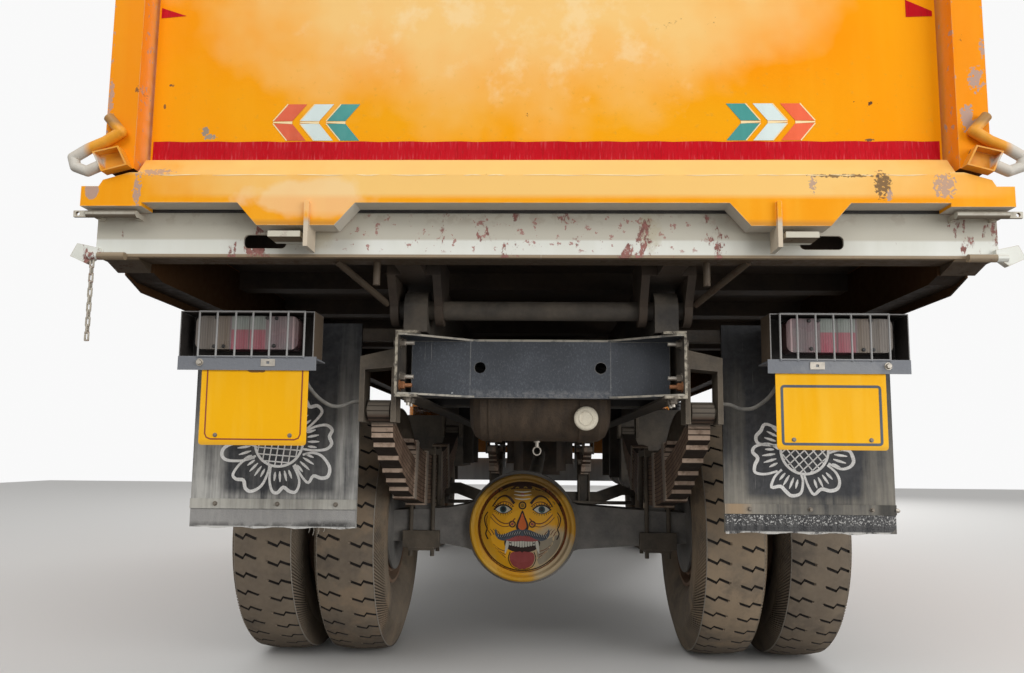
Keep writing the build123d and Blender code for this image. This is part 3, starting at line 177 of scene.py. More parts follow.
def worn_paint(name, base, deep, pale, under=(0.09, 0.05, 0.035), chips=0.70, fade=0.5, dust=0.35,
               rough=(0.38, 0.62), gloss=0.3, rows=(), edge=None, tall=1.0, dents=0.0, late=()):
    """Enamel with sun fade, streaks, chips down to primer and rust, worn edges, and dust on what faces up."""
    f = Finish(name, gloss=gloss)
    cloud = f.spread(f.noise(1.7, 3), 0.35, 0.68)
    streak = f.spread(f.noise(5.0, 5, stretch=(3.5, 3.5, 0.35)), 0.42, 0.75)
    grain = f.noise(46.0, 6)
    colour = f.mix(cloud, base, deep)
    colour = f.mix(f.calc(streak, fade), colour, pale)
    colour = f.mix(f.calc(f.spread(grain, 0.55, 0.8), 0.16), colour, deep)
    colour = f.zones(colour, rows)
    spots = f.noise(16.0, 8, 0.72, stretch=(1, 1, tall), shift=3.0)
    spots = f.calc(spots, f.spread(f.noise(2.6, 3, shift=9.0), 0.30, 0.75, 0.75, 1.12))
    chip = f.spread(spots, chips, chips + 0.025)
    rust = f.spread(f.noise(60.0, 4), 0.35, 0.65)
    colour = f.mix(chip, colour, f.mix(rust, under, tuple(c * 0.6 for c in under)))
    if edge:
        colour = f.mix(f.calc(f.edges(), 0.85), colour, edge)
    # Rows laid over the chips and worn edges; painted shade on undersides is laid here too
    colour = f.zones(colour, late)
    soil = f.calc(f.spread(f.place("nz"), 0.1, 1.0, 0.10, 1.0),
        f.spread(f.noise(9.0, 6), 0.3, 0.75, 0.25, 1.0))
    colour = f.mix(f.calc(soil, dust), colour, ROAD_DUST)
    shine = f.calc(f.spread(grain, 0.3, 0.7, rough[0], rough[1]), f.calc(chip, 0.25), "ADD")
    bump = f.calc(f.calc(grain, 0.12), f.calc(chip, -0.8), "ADD")
    if dents:
        bump = f.calc(bump, f.calc(f.noise(3.2, 2, shift=4.0), dents), "ADD")
    f.done(colour, shine, bump, 0.0015)


def paint(name, colour, deep=0.6, chips=0.66, under=(0.82, 0.30, 0.01)):
    """Enamel of one colour, brushed on by hand."""
    pale = tuple(min(1, c * 1.2 + 0.05) for c in colour)
    worn_paint(name, colour, tuple(c * deep for c in colour), pale, under, chips, fade=0.3, dust=0.06,
        rough=(0.4, 0.6))


def dusty(name, base, dirt, scale=7.0, amount=(0.15, 0.85), metallic=0.0, rough=(0.6, 0.9), depth=0.002,
          stretch=(1, 1, 1), rows=(), edge=None):
    """Rough surface under uneven road dust."""
    f = Finish(name, metallic, gloss=0.3)
    cover = f.calc(f.spread(f.noise(scale, 7, 0.62, stretch), 0.36, 0.68), amount[1])
    up = f.spread(f.place("nz"), -0.3, 1.0, 0.55, 1.15)
    cover = f.calc(f.calc(cover, up), amount[0], "ADD")
    grain = f.noise(scale * 11, 5)
    colour = f.mix(f.spread(grain, 0.3, 0.75), base, tuple(c * 1.5 for c in base))
    colour = f.mix(f.spread(cover, 0.0, 1.0), colour, dirt)
    colour = f.zones(colour, rows)
    if edge:
        colour = f.mix(f.calc(f.edges(), 0.8), colour, edge)
    f.done(colour, f.spread(cover, 0.1, 0.7, rough[0], rough[1]), grain, depth)


def plain(name, colour, metallic=0.0, roughness=0.5, speck=0.12, scale=60.0):
    """Small painted or plated piece with slight soiling."""
    f = Finish(name, metallic)
    grain = f.noise(scale, 6)
    shade = f.mix(f.calc(f.spread(grain, 0.4, 0.75), speck * 4), colour, tuple(c * 0.6 for c in colour))
    f.done(shade, f.spread(grain, 0.3, 0.7, roughness * 0.8, roughness * 1.2), grain, 0.0006)


def glassy(name, colour, transmission, roughness=0.05):
    f = Finish(name)
    f.shader.inputs["Transmission Weight"].default_value = transmission
    f.shader.inputs["IOR"].default_value = 1.46
    grain = f.noise(30.0, 5)
    haze = f.mix(f.spread(grain, 0.35, 0.8), colour, tuple(c * 0.75 for c in colour))
    f.done(haze, f.spread(grain, 0.3, 0.8, roughness, roughness + 0.12))


def flap_rubber():
    """Rubber sheet, dusty low and outside, wiped clean round its flower, paler on the left flap."""
    f = Finish("flap_rubber", gloss=0.3)
    left = f.spread(f.place("x"), -0.1, 0.1, 1.0, 0.0)
    streak = f.spread(f.noise(7.0, 7, 0.68, (5.0, 5.0, 0.30)), 0.36, 0.66)
    cloud = f.spread(f.noise(3.4, 5, 0.6, shift=2.0), 0.32, 0.62)
    low = f.spread(f.place("z"), 0.62, 1.20, 1.0, 0.15)
    cover = f.calc(f.calc(streak, 0.65), f.calc(cloud, 0.55), "ADD")
    cover = f.calc(f.calc(cover, low), f.spread(left, 0.0, 1.0, 0.62, 1.15))
    clean = f.calc(f.band("wide", 0.672, 1.045, 0.012), f.band("z", 0.705, 2.0, 0.012))
    cover = f.calc(cover, f.spread(clean, 0.0, 1.0, 1.0, 0.30))
    dirt = f.mix(left, (0.37, 0.34, 0.28), (0.44, 0.43, 0.40))
    base = f.mix(f.spread(f.noise(60.0, 5), 0.3, 0.75), (0.026, 0.027, 0.030), (0.055, 0.056, 0.060))
    colour = f.mix(f.spread(cover, 0.08, 0.85), base, dirt)
    scratch = f.spread(f.noise(26.0, 4, 0.7, (6.0, 6.0, 0.25), 7.0), 0.66, 0.74)
    colour = f.mix(f.calc(scratch, 0.45), colour, (0.46, 0.44, 0.41))
    batten = ("z", 0.652, 0.684, 0.001)
    colour = f.zones(colour, (
        ((0.44, 0.42, 0.36), 0.5, batten, ("x", -2.0, 0.0)),
        ((0.36, 0.24, 0.13), 0.7, batten, ("x", 0.60, 0.672, 0.02)),
        ((0.012, 0.012, 0.012), 0.7, batten, ("x", 1.09, 2.0, 0.01)),
    ))
    f.done(colour, f.spread(cover, 0.0, 0.7, 0.5, 0.85), f.noise(160.0, 3), 0.0008)


def lens_plastic():
    """Ribbed tail lamp lens: dull amber outside, clear over red in the middle, pinkish inside, all dusty."""
    f = Finish("lens_plastic", gloss=0.4)
    f.shader.inputs["Coat Weight"].default_value = 0.25
    colour = f.mix(f.spread(f.noise(22.0, 4), 0.35, 0.7), (0.20, 0.115, 0.125), (0.15, 0.12, 0.125))
    middle = ("wide", 0.850, 0.956, 0.001)
    colour = f.zones(colour, (
        ((0.17, 0.125, 0.085), 1.0, ("wide", 0.962, 1.0, 0.002)),
        ((0.15, 0.125, 0.100), 1.0, ("wide", 1.000, 2.0, 0.002)),
        ((0.24, 0.27, 0.24), 1.0, middle, ("z", 1.213, 2.0, 0.002)),
        ((0.36, 0.060, 0.095), 1.0, middle, ("z", 0.0, 1.213, 0.002)),
        # Bright pink line near the inner end: painted highlight
        ((0.52, 0.36, 0.36), 0.9, ("wide", 0.760, 0.766, 0.001)),
        ((0.09, 0.015, 0.022), 0.8, ("wide", 0.0, 0.757, 0.001)),
        ((0.04, 0.03, 0.03), 0.8, ("wide", 0.8985, 0.9035, 0.0008)),
    ))
    rib = f.spread(f.calc(f.calc(f.place("wide"), 820.0), 0.0, "SINE"), 0.55, 1.0)
    colour = f.mix(f.calc(rib, 0.35), colour, (0.07, 0.05, 0.05))
    dust = f.spread(f.noise(9.0, 6), 0.35, 0.7, 0.10, 0.45)
    colour = f.mix(dust, colour, (0.20, 0.17, 0.145))
    f.done(colour, f.spread(dust, 0.1, 0.45, 0.22, 0.5), rib, 0.0012)


ORANGE = (0.85, 0.275, 0.001)
ORANGE_DEEP = (0.82, 0.25, 0.001)
ORANGE_PALE = (0.86, 0.36, 0.012)
DUST = (0.235, 0.165, 0.115)
PINK_GREY = (0.42, 0.29, 0.24)
SCUFF = (0.10, 0.065, 0.045)
# Near black for faces that point down and for tucked-away lower parts: painted shade
PAINTED_UNDER_SHADE = (0.016, 0.012, 0.009)

worn_paint(
    "gate_paint", ORANGE, (0.84, 0.33, 0.003), ORANGE_PALE, fade=0.30, dust=0.08, gloss=0.04, dents=1.0,
    rows=(
        ((0.80, 0.37, 0.006), 0.8, ("z", 1.70, 1.86, 0.10), ("wide", 0.0, 0.75, 0.25)),
        # Pale cloud with paler streaks over the gate's upper middle: painted reflection of the sky
        ((0.82, 0.55, 0.21), 0.85, ("blob", -0.06, 2.28, 0.80, 0.44, 1.0, 0.6, 4.0)),
        ((0.84, 0.70, 0.44), 0.35, ("blob", -0.10, 2.30, 0.50, 0.40, 3.0, 0.5, 9.0),
            ("worn", 7.0, 0.5, 0.62)),
        ((0.30, 0.24, 0.18), 1.0, ("blob", -0.959, 1.742, 0.010, 0.014, 2.2, 0.1, 120.0)),
        ((0.34, 0.27, 0.20), 1.0, ("blob", -0.946, 1.728, 0.017, 0.008, 2.2, 0.1, 120.0)),
        (SCUFF, 0.9, ("blob", -1.064, 1.882, 0.008, 0.004, 2.5, 0.2, 150.0)),
        (SCUFF, 0.8, ("blob", -1.081, 1.818, 0.004, 0.007, 2.5, 0.2, 150.0)),
        (SCUFF, 0.9, ("blob", 0.914, 1.717, 0.012, 0.004, 2.5, 0.2, 150.0)),
        ((0.55, 0.30, 0.04), 0.30, ("z", 1.60, 1.95, 0.1), ("worn", 60.0, 0.60, 0.68)),
    ))
post_rows = tuple((*row, ("y", -4.0, -3.045, 0.004)) for row in (
    (PINK_GREY, 0.95, ("blob", 1.180, 1.866, 0.019, 0.032, 3.6, 0.15, 95.0)),
    (PINK_GREY, 0.95, ("blob", 1.154, 1.748, 0.018, 0.034, 3.6, 0.15, 95.0)),
    (PINK_GREY, 0.90, ("blob", 1.203, 1.955, 0.008, 0.024, 3.4, 0.15, 95.0)),
    (SCUFF, 0.80, ("blob", -1.131, 1.839, 0.005, 0.010, 3.0, 0.2, 150.0)),
    (PINK_GREY, 0.80, ("blob", -1.203, 1.800, 0.008, 0.050, 3.6, 0.15, 95.0)),
    (PINK_GREY, 0.90, ("wide", 1.122, 1.129, 0.001), ("worn", 38.0, 0.60, 0.63)),
    (PINK_GREY, 0.90, ("wide", 1.203, 1.215, 0.001), ("worn", 34.0, 0.57, 0.61)),
))
worn_paint(
    "bed_paint", ORANGE, ORANGE_DEEP, ORANGE_PALE, fade=0.30, dust=0.45, gloss=0.07, rows=post_rows,
    edge=(0.50, 0.36, 0.22), late=(
        # Painted shade on downward faces, and on the lower parts forward of the rear end
        (PAINTED_UNDER_SHADE, 0.96, ("nz", -2.0, -0.30, 0.12)),
        (PAINTED_UNDER_SHADE, 0.96, ("z", 0.0, 1.506, 0.002), ("wide", 0.0, 1.2092, 0.0004), ("y", -3.045, 9.0, 0.004)),
    ))
worn_paint(
    "rail_paint", (0.86, 0.34, 0.004), (0.84, 0.30, 0.003), (0.87, 0.42, 0.03), chips=0.68, dust=0.22,
    gloss=0.08, edge=(0.80, 0.62, 0.34), late=(
        ((0.55, 0.51, 0.42), 0.90, ("wide", 0.6275, 0.6405, 0.0004), ("z", 0.0, 1.462, 0.010)),
        ((0.52, 0.50, 0.44), 0.95, ("nz", -2.0, -0.35, 0.10)),
    ), rows=(
        ((0.86, 0.57, 0.20), 0.85, ("blob", 0.10, 1.575, 0.98, 0.30, 0.6, 0.5, 5.0),
            ("z", 1.530, 1.70, 0.008)),
        ((0.87, 0.56, 0.18), 0.65, ("z", 1.592, 1.66, 0.004), ("worn", 3.0, 0.30, 0.55)),
        ((0.86, 0.66, 0.40), 0.45, ("z", 1.470, 1.59, 0.02),
            ("blob", -0.62, 1.53, 0.16, 0.05, 1.8, 0.4, 12.0)),
        (PINK_GREY, 0.95, ("blob", -1.232, 1.545, 0.020, 0.024, 0.5, 0.1, 70.0)),
        (PINK_GREY, 0.90, ("blob", -1.107, 1.545, 0.009, 0.050, 3.6, 0.15, 110.0)),
        (PINK_GREY, 0.80, ("blob", -1.060, 1.600, 0.045, 0.010, 3.6, 0.2, 110.0)),
        (PINK_GREY, 0.85, ("blob", 1.078, 1.560, 0.024, 0.030, 3.8, 0.2, 110.0)),
        (SCUFF, 0.85, ("blob", 0.914, 1.566, 0.018, 0.034, 3.6, 0.3, 120.0)),
        (PINK_GREY, 0.90, ("blob", 0.930, 1.532, 0.007, 0.014, 3.0, 0.2, 120.0)),
        (PINK_GREY, 0.85, ("blob", 0.728, 1.565, 0.008, 0.024, 3.4, 0.2, 120.0)),
        (SCUFF, 0.80, ("blob", 0.806, 1.588, 0.080, 0.005, 3.4, 0.3, 120.0)),
        ((0.30, 0.16, 0.06), 0.5, ("z", 1.446, 1.462, 0.006), ("wide", 0.50, 0.84)),
    ))
worn_paint(
    "cab_paint", ORANGE, ORANGE_DEEP, ORANGE_PALE, chips=0.80, fade=0.15, dust=0.25, rough=(0.18, 0.34),
    rows=(
        ((0.30, 0.20, 0.12), 0.45, ("z", 0.0, 1.15, 0.12)),
        # Painted shade on downward faces
        (PAINTED_UNDER_SHADE, 0.90, ("nz", -2.0, -0.60, 0.12)),
    ))
worn_paint(
    "sill_paint", (0.70, 0.71, 0.65), (0.60, 0.60, 0.53), (0.74, 0.75, 0.71), under=(0.34, 0.15, 0.13),
    chips=0.535, dust=0.40, rough=(0.5, 0.75), edge=(0.36, 0.25, 0.15), tall=0.5, late=(
        ((0.05, 0.035, 0.022), 0.95, ("y", -3.040, 0.0, 0.004), ("z", 0.0, 1.405)),
        # Dark downward faces at the rear: painted shade
        ((0.09, 0.065, 0.040), 0.90, ("y", -4.0, -3.075, 0.003), ("nz", -2.0, -0.3, 0.1)),
        ((0.56, 0.53, 0.44), 0.80, ("y", -4.0, -3.1265, 0.0005)),
    ), rows=(
        # Greyer zone round the rail's tabs: painted shadow cast by the tabs
        ((0.54, 0.53, 0.47), 0.75, ("wide", 0.50, 0.87, 0.030), ("z", 1.385, 1.60)),
        ((0.22, 0.12, 0.10), 0.80, ("z", 1.475, 1.52, 0.010), ("worn", 20.0, 0.53, 0.58)),
        # Darker upper zone: painted shadow cast by the tailgate rail
        ((0.47, 0.44, 0.36), 0.85, ("z", 1.428, 1.60, 0.003)),
        ((0.34, 0.15, 0.13), 0.85, ("x", -0.60, 0.45, 0.05), ("z", 1.395, 1.50, 0.004),
            ("worn", 34.0, 0.585, 0.605)),
        ((0.45, 0.40, 0.28), 0.6, ("blob", 0.30, 1.45, 0.030, 0.050, 1.5, 0.5)),
        ((0.45, 0.40, 0.28), 0.5, ("blob", -0.62, 1.45, 0.040, 0.050, 1.5, 0.5)),
        ((0.22, 0.155, 0.085), 0.92, ("z", 0.0, 1.3865, 0.0012), ("wide", 0.0, 1.236)),
        ((0.40, 0.34, 0.23), 0.75, ("y", -4.0, -3.075, 0.003), ("z", 1.38, 1.45)),
        ((0.40, 0.37, 0.30), 0.5, ("z", 0.0, 1.36, 0.004)),
    ))
worn_paint(
    "lever_paint", (0.80, 0.33, 0.012), (0.66, 0.25, 0.012), (0.80, 0.45, 0.10), under=(0.16, 0.07, 0.035),
    chips=0.62, dust=0.25, gloss=0.25, edge=(0.45, 0.33, 0.20), rows=(
        ((0.55, 0.52, 0.46), 0.95, ("wide", 1.243, 2.0, 0.010)),
        ((0.55, 0.52, 0.46), 0.95, ("wide", 1.205, 2.0, 0.004), ("z", 0.0, 1.640, 0.006)),
        ((0.26, 0.15, 0.06), 0.80, ("z", 1.727, 2.0, 0.008)),
    ))
worn_paint(
    "cover_paint", (0.80, 0.42, 0.012), (0.56, 0.26, 0.010), (0.78, 0.55, 0.18), chips=0.69, dust=0.2,
    gloss=0.3, edge=(0.58, 0.44, 0.20), rows=(
        ((0.88, 0.42, 0.006), 0.80, ("blob", COVER_X, 0.525, 0.170, 0.170, 0.5, 0.3)),
        ((0.46, 0.38, 0.25), 0.88, ("blob", COVER_X + 0.120, 0.415, 0.115, 0.115, 1.0, 0.35, 12.0)),
        ((0.10, 0.055, 0.020), 0.75, ("blob", COVER_X, 0.72, 0.19, 0.075, 1.0, 0.5, 14.0)),
    ))
worn_paint(
    "stripe_red", (0.50, 0.003, 0.012), (0.42, 0.003, 0.009), (0.58, 0.03, 0.04), under=(0.62, 0.17, 0.12),
    chips=0.66, dust=0.05, gloss=0.06, fade=0.20, rows=(
        ((0.66, 0.13, 0.15), 0.45, ("streak", 62.0, 0.54, 0.68), ("z", 1.0, 1.678, 0.010)),
        ((0.62, 0.10, 0.12), 0.40, ("streak", 50.0, 0.54, 0.68), ("z", 1.694, 1.80, 0.010)),
        ((0.30, 0.004, 0.006), 0.55, ("streak", 75.0, 0.52, 0.66)),
    ))
dusty("chassis_paint", (0.030, 0.027, 0.024), (0.20, 0.165, 0.125), 6.0, (0.05, 0.72), rows=(
    ((0.46, 0.41, 0.32), 0.80, ("y", -4.0, FRAME_END + 0.0008, 0.0003), ("wide", 0.30, 0.4425),
        ("worn", 60.0, 0.38, 0.56)),
))
dusty("mount_iron", (0.050, 0.042, 0.033), (0.215, 0.175, 0.13), 9.0, (0.15, 0.7), edge=(0.30, 0.25, 0.19))
dusty("under_paint", (0.026, 0.020, 0.016), (0.12, 0.085, 0.058), 5.0, (0.05, 0.7))
dusty("axle_dust", (0.085, 0.082, 0.080), (0.33, 0.31, 0.28), 9.0, (0.20, 0.72), edge=(0.34, 0.31, 0.27))
dusty("arm_steel", (0.045, 0.040, 0.036), (0.20, 0.16, 0.12), 10.0, (0.1, 0.7))
dusty("tyre_rubber", (0.095, 0.078, 0.062), (0.30, 0.235, 0.165), 5.0, (0.25, 0.65), rough=(0.75, 0.95),
    depth=0.001, rows=(
    # Tan patches on the rear of the right inner tyre: painted sunlight
    ((0.36, 0.265, 0.17), 0.55, ("x", 0.55, 0.90, 0.02), ("y", -9.0, -2.0, 0.02), ("worn", 8.0, 0.34, 0.56)),
    ((0.34, 0.24, 0.15), 0.40, ("x", -0.90, -0.55, 0.02), ("y", -9.0, -2.0, 0.02), ("worn", 7.0, 0.46, 0.60)),
    ((0.060, 0.054, 0.050), 0.35, ("worn", 6.0, 0.55, 0.64)),
))
dusty("tyre_edge", (0.16, 0.14, 0.12), (0.40, 0.36, 0.30), 14.0, (0.3, 0.6))
# Near black for the floors of the tread grooves and between the shoulder ribs: painted shade
dusty("groove_painted_shade", (0.012, 0.010, 0.009), (0.05, 0.038, 0.030), 12.0, (0.0, 0.4))
dusty("rim_paint", (0.16, 0.075, 0.040), (0.27, 0.21, 0.15), 8.0, (0.25, 0.7), edge=(0.36, 0.28, 0.20))
dusty("engine_iron", (0.05, 0.045, 0.04), DUST, 8.0, (0.05, 0.6), metallic=0.4)
dusty("black_trim", (0.018, 0.018, 0.019), (0.14, 0.12, 0.10), 16.0, (0.0, 0.35), rough=(0.35, 0.6))
worn_paint("bumper_paint", (0.30, 0.31, 0.31), (0.22, 0.22, 0.22), (0.42, 0.42, 0.41), chips=0.72, dust=0.4,
    rough=(0.4, 0.6))
dusty("seat_cloth", (0.10, 0.035, 0.028), (0.22, 0.15, 0.12), 90.0, (0.0, 0.5), depth=0.003)
dusty("lead_sheath", (0.10, 0.098, 0.092), (0.34, 0.32, 0.28), 40.0, (0.2, 0.6))
dusty("cream_disc", (0.62, 0.57, 0.46), (0.40, 0.33, 0.23), 60.0, (0.0, 0.5), rough=(0.35, 0.6))
dusty("chalk_white", (0.64, 0.63, 0.61), (0.40, 0.385, 0.36), 34.0, (0.0, 0.55), rough=(0.6, 0.8))
dusty("tank_paint", (0.032, 0.023, 0.016), (0.165, 0.115, 0.075), 16.0, (0.05, 0.65), stretch=(2.0, 1.0, 0.6),
    depth=0.003)
dusty("box_steel", (0.016, 0.014, 0.013), (0.06, 0.05, 0.042), 9.0, (0.0, 0.6), rows=(
    ((0.15, 0.11, 0.075), 0.85, ("wide", 0.0, 0.6945, 0.0006)),
    ((0.30, 0.29, 0.28), 0.75, ("ny", -2.0, -0.5, 0.1), ("y", -4.0, -2.8392, 0.0004)),
    ((0.36, 0.355, 0.345), 0.90, ("y", -4.0, -2.8418, 0.0004), ("z", 1.1262, 2.0, 0.0003)),
    ((0.185, 0.195, 0.215), 0.95, ("z", 0.0, 1.1258, 0.0003)),
    ((0.30, 0.30, 0.30), 0.40, ("z", 0.0, 1.1258, 0.0003), ("blob", 0.9, 1.10, 0.12, 0.03, 3.0, 0.8, 30.0)),
), edge=(0.34, 0.34, 0.34))


def leaf_steel():
    """Rusty leaves with a dark gap drawn along each layer and paler ends."""
    f = Finish("leaf_steel", gloss=0.25)

    def gaps(y, z, radius, thick):
        a, b = f.calc(f.place("y"), y, "SUBTRACT"), f.calc(f.place("z"), z, "SUBTRACT")
        away = f.calc(f.calc(f.calc(a, a), f.calc(b, b), "ADD"), 0.5, "POWER")
        part = f.calc(f.calc(f.calc(away, radius, "SUBTRACT"), 1 / thick), 0.0, "FRACT")
        return f.calc(f.spread(part, 0.04, 0.12, 1.0, 0.0), f.spread(part, 0.88, 0.96), "MAXIMUM")
    rear = f.calc(f.band("y", -9.0, 0.3), gaps(REAR_Y, 3.2359, 2.4709, 0.016))
    front = f.calc(f.band("y", 0.3, 9.0), gaps(FRONT_Y, 2.4400, 1.6900, 0.013))
    dust = f.spread(f.noise(14.0, 6, 0.65), 0.36, 0.66)
    colour = f.mix(dust, (0.105, 0.060, 0.038), (0.27, 0.185, 0.13))
    colour = f.mix(f.calc(f.spread(f.noise(90.0, 5), 0.45, 0.75), 0.5), colour, (0.07, 0.042, 0.028))
    colour = f.zones(colour, (
        ((0.56, 0.42, 0.32), 0.80, ("ny", -2.0, -0.50, 0.1), ("z", 0.0, 0.950, 0.010),
            ("worn", 34.0, 0.28, 0.52)),
        ((0.30, 0.26, 0.215), 0.75, ("wide", 0.5482, 0.60, 0.0005)),
        ((0.30, 0.26, 0.215), 0.75, ("wide", 0.40, 0.4738, 0.0005)),
        ((0.115, 0.100, 0.080), 0.88, ("z", 0.930, 1.10, 0.006), ("y", -9.0, 0.0)),
        # Darker downward faces under each leaf step: painted shade
        ((0.085, 0.052, 0.036), 0.85, ("nz", -2.0, -0.45, 0.15)),
    ))
    sides = f.calc(f.calc(rear, front, "ADD"), f.band("wide", 0.4738, 0.5482, 0.0003))
    colour = f.mix(f.calc(sides, 0.9), colour, (0.016, 0.011, 0.008))
    f.done(colour, f.spread(dust, 0.0, 1.0, 0.6, 0.85), f.calc(sides, -1.0), 0.002)


def tail_black():
    """Black enamel gone blue-grey, covered in fine pale specks and thin scratches."""
    f = Finish("tail_black", gloss=0.35)
    cloud = f.spread(f.noise(5.0, 5), 0.35, 0.7)
    colour = f.mix(cloud, (0.040, 0.045, 0.054), (0.075, 0.083, 0.098))
    speck = f.spread(f.calc(f.noise(210.0, 5, 0.8, (1.0, 1.0, 0.6)), f.spread(cloud, 0.0, 1.0, 0.95, 1.10)),
        0.52, 0.66)
    colour = f.mix(f.calc(speck, 0.24), colour, (0.26, 0.28, 0.305))
    scratch = f.spread(f.noise(14.0, 3, 0.6, (9.0, 1.0, 0.35), 3.0), 0.70, 0.76)
    colour = f.mix(f.calc(scratch, 0.6), colour, (0.42, 0.41, 0.38))
    flake = f.spread(f.noise(38.0, 5, 0.7, shift=8.0), 0.70, 0.73)
    colour = f.mix(flake, colour, (0.62, 0.64, 0.64))
    colour = f.mix(f.calc(f.edges(0.005), 0.75), colour, (0.42, 0.39, 0.33))
    standing = ("nz", -0.5, 0.5, 0.05)
    colour = f.zones(colour, (
        ((0.46, 0.42, 0.34), 0.80, standing, ("z", 1.1965, 1.2035, 0.0004), ("worn", 30.0, 0.34, 0.50)),
        ((0.46, 0.42, 0.34), 0.80, standing, ("z", 1.0145, 1.0215, 0.0004), ("worn", 30.0, 0.34, 0.50),
            ("wide", 0.21, 1)),
        # Lighter band along the rounded lower bend: painted highlight, broken up by worn specks
        ((0.20, 0.20, 0.20), 0.60, ("z", 1.0145, 1.0375, 0.006), ("wide", 0.0, 0.222, 0.003),
            ("worn", 90.0, 0.40, 0.60)),
        ((0.24, 0.24, 0.235), 0.60, ("wide", 0.2225, 0.2260, 0.0008), ("worn", 40.0, 0.35, 0.55),
            ("y", -4.0, -2.704, 0.001)),
        ((0.13, 0.105, 0.080), 0.7, ("nz", 0.5, 2.0, 0.1)),
        ((0.030, 0.026, 0.022), 0.8, ("y", -2.695, 9.0, 0.01)),
    ))
    f.done(colour, f.spread(cloud, 0.0, 1.0, 0.42, 0.65), speck, 0.0006)


dusty("hem_pale", (0.20, 0.195, 0.19), (0.34, 0.33, 0.31), 30.0, (0.25, 0.75), stretch=(2.0, 2.0, 0.4), rows=(
    ((0.030, 0.029, 0.028), 0.85, ("x", -0.775, -0.615, 0.02), ("z", 0.0, 0.612, 0.008),
        ("worn", 22.0, 0.36, 0.54)),
    ((0.040, 0.038, 0.036), 0.60, ("x", -1.16, -0.60, 0.02), ("z", 0.0, 0.606, 0.006),
        ("worn", 26.0, 0.42, 0.58)),
    ((0.62, 0.61, 0.58), 0.85, ("z", 0.0, 0.5955, 0.0015), ("worn", 40.0, 0.32, 0.46)),
))
dusty("hem_black", (0.020, 0.020, 0.021), (0.16, 0.155, 0.15), 24.0, (0.0, 0.55), rough=(0.25, 0.55),
    stretch=(2.5, 2.5, 0.3), rows=(
    ((0.66, 0.65, 0.62), 0.80, ("z", 0.618, 0.652, 0.006), ("worn", 170.0, 0.54, 0.60)),
    ((0.60, 0.58, 0.54), 0.80, ("z", 0.0, 0.5965, 0.002), ("worn", 40.0, 0.36, 0.50)),
))
dusty("chain_steel", (0.30, 0.27, 0.22), (0.52, 0.48, 0.40), 60.0, (0.2, 0.6))
plain("chrome_rod", (0.62, 0.62, 0.63), 1.0, 0.16)
plain("mirror_glass", (0.80, 0.82, 0.84), 1.0, 0.04, 0.02)
plain("bolt_steel", (0.22, 0.19, 0.155), 0.6, 0.5)
plain("rusty_bolt", (0.30, 0.125, 0.05), 0.2, 0.6, 0.2)
plain("pale_steel", (0.46, 0.42, 0.36), 0.6, 0.45)
plain("amber_lens", (0.80, 0.26, 0.02), 0.0, 0.18, 0.06, 300.0)
glassy("window_glass", (0.80, 0.87, 0.86), 0.92, 0.02)
glassy("lamp_glass", (0.90, 0.92, 0.92), 0.85, 0.04)
paint("paint_green", (0.050, 0.30, 0.27))
paint("paint_white", (0.62, 0.72, 0.70), 0.85)
paint("paint_flame", (0.80, 0.115, 0.035))
paint("paint_cream", (0.85, 0.66, 0.36), 0.85)
worn_paint("plate_yellow", (0.92, 0.47, 0.006), (0.88, 0.42, 0.005), (0.92, 0.55, 0.06), chips=0.715,
    dust=0.05, gloss=0.08, rows=(
    ((0.10, 0.05, 0.03), 0.85, ("blob", -0.865, 1.083, 0.030, 0.006, 1.5)),
    ((0.55, 0.30, 0.05), 0.5, ("z", 0.0, 0.868, 0.006)),
))
paint("border_red", (0.30, 0.055, 0.030), chips=0.64, under=(0.88, 0.42, 0.005))
paint("border_blue", (0.085, 0.105, 0.135), chips=0.68, under=(0.88, 0.42, 0.005))
for build in (flap_rubber, lens_plastic, leaf_steel, tail_black):
    build()

# Which solids wear each material
DRESS = {
    "gate_paint": ("tailgate_panel",),
    "rail_paint": ("tailgate_rail",),
    "bed_paint": ("bed_sides", "bed_headboard"),
    "under_paint": ("bed_floor",),
    "sill_paint": ("rear_sill",),
    "lever_paint": ("lock_handles",),
    "chassis_paint": (
        "frame_rails", "subframe", "prop_shaft", "battery_box", "fuel_tank", "radiator", "cylinder_barrel",
        "front_axle", "track_rod", "knuckle_left", "knuckle_right", "front_mudguards"),
    "mount_iron": ("spring_mounts",),
    "tail_black": ("crossmembers",),
    "axle_dust": ("rear_axle",),
    "tank_paint": ("air_tank",),
    "leaf_steel": ("leaf_springs",),
    "cover_paint": ("diff_cover",),
    "engine_iron": ("engine",),
    "chrome_rod": ("cylinder_rod",),
    "box_steel": ("lamp_boxes",),
    "arm_steel": ("bracket_arms",),
    "lens_plastic": ("tail_lamps",),
    "lamp_glass": ("headlamps",),
    "flap_rubber": ("mud_flaps",),
    "lead_sheath": ("lamp_leads",),
    "tyre_rubber": ("rear_tyres_left", "rear_tyres_right", "front_tyre_left", "front_tyre_right"),
    "rim_paint": ("rear_rims_left", "rear_rims_right", "front_rim_left", "front_rim_right"),
    "cab_paint": ("cab_roof", "cab_front", "cab_rear", "cab_sides", "door_left", "door_right", "cab_floor"),
    "window_glass": ("cab_glass", "door_glass_left", "door_glass_right"),
    "black_trim": ("grille", "mirrors", "dashboard"),
    "bumper_paint": ("bumper",),
    "seat_cloth": ("seats",),
}
for look, names in DRESS.items():
    for name in names:
        nodes[name].data.materials.clear()
        nodes[name].data.materials.append(LOOKS[look])


# Mesh building
SIDES = ((-1, "left"), (1, "right"))


def turns(count, start=0.0):
    """Angles of equal steps round a circle."""
    return [2 * math.pi * (k + start) / count for k in range(count)]


def around(centre, side, other, radius, count):
    return [centre + (side * math.cos(a) + other * math.sin(a)) * radius for a in turns(count)]


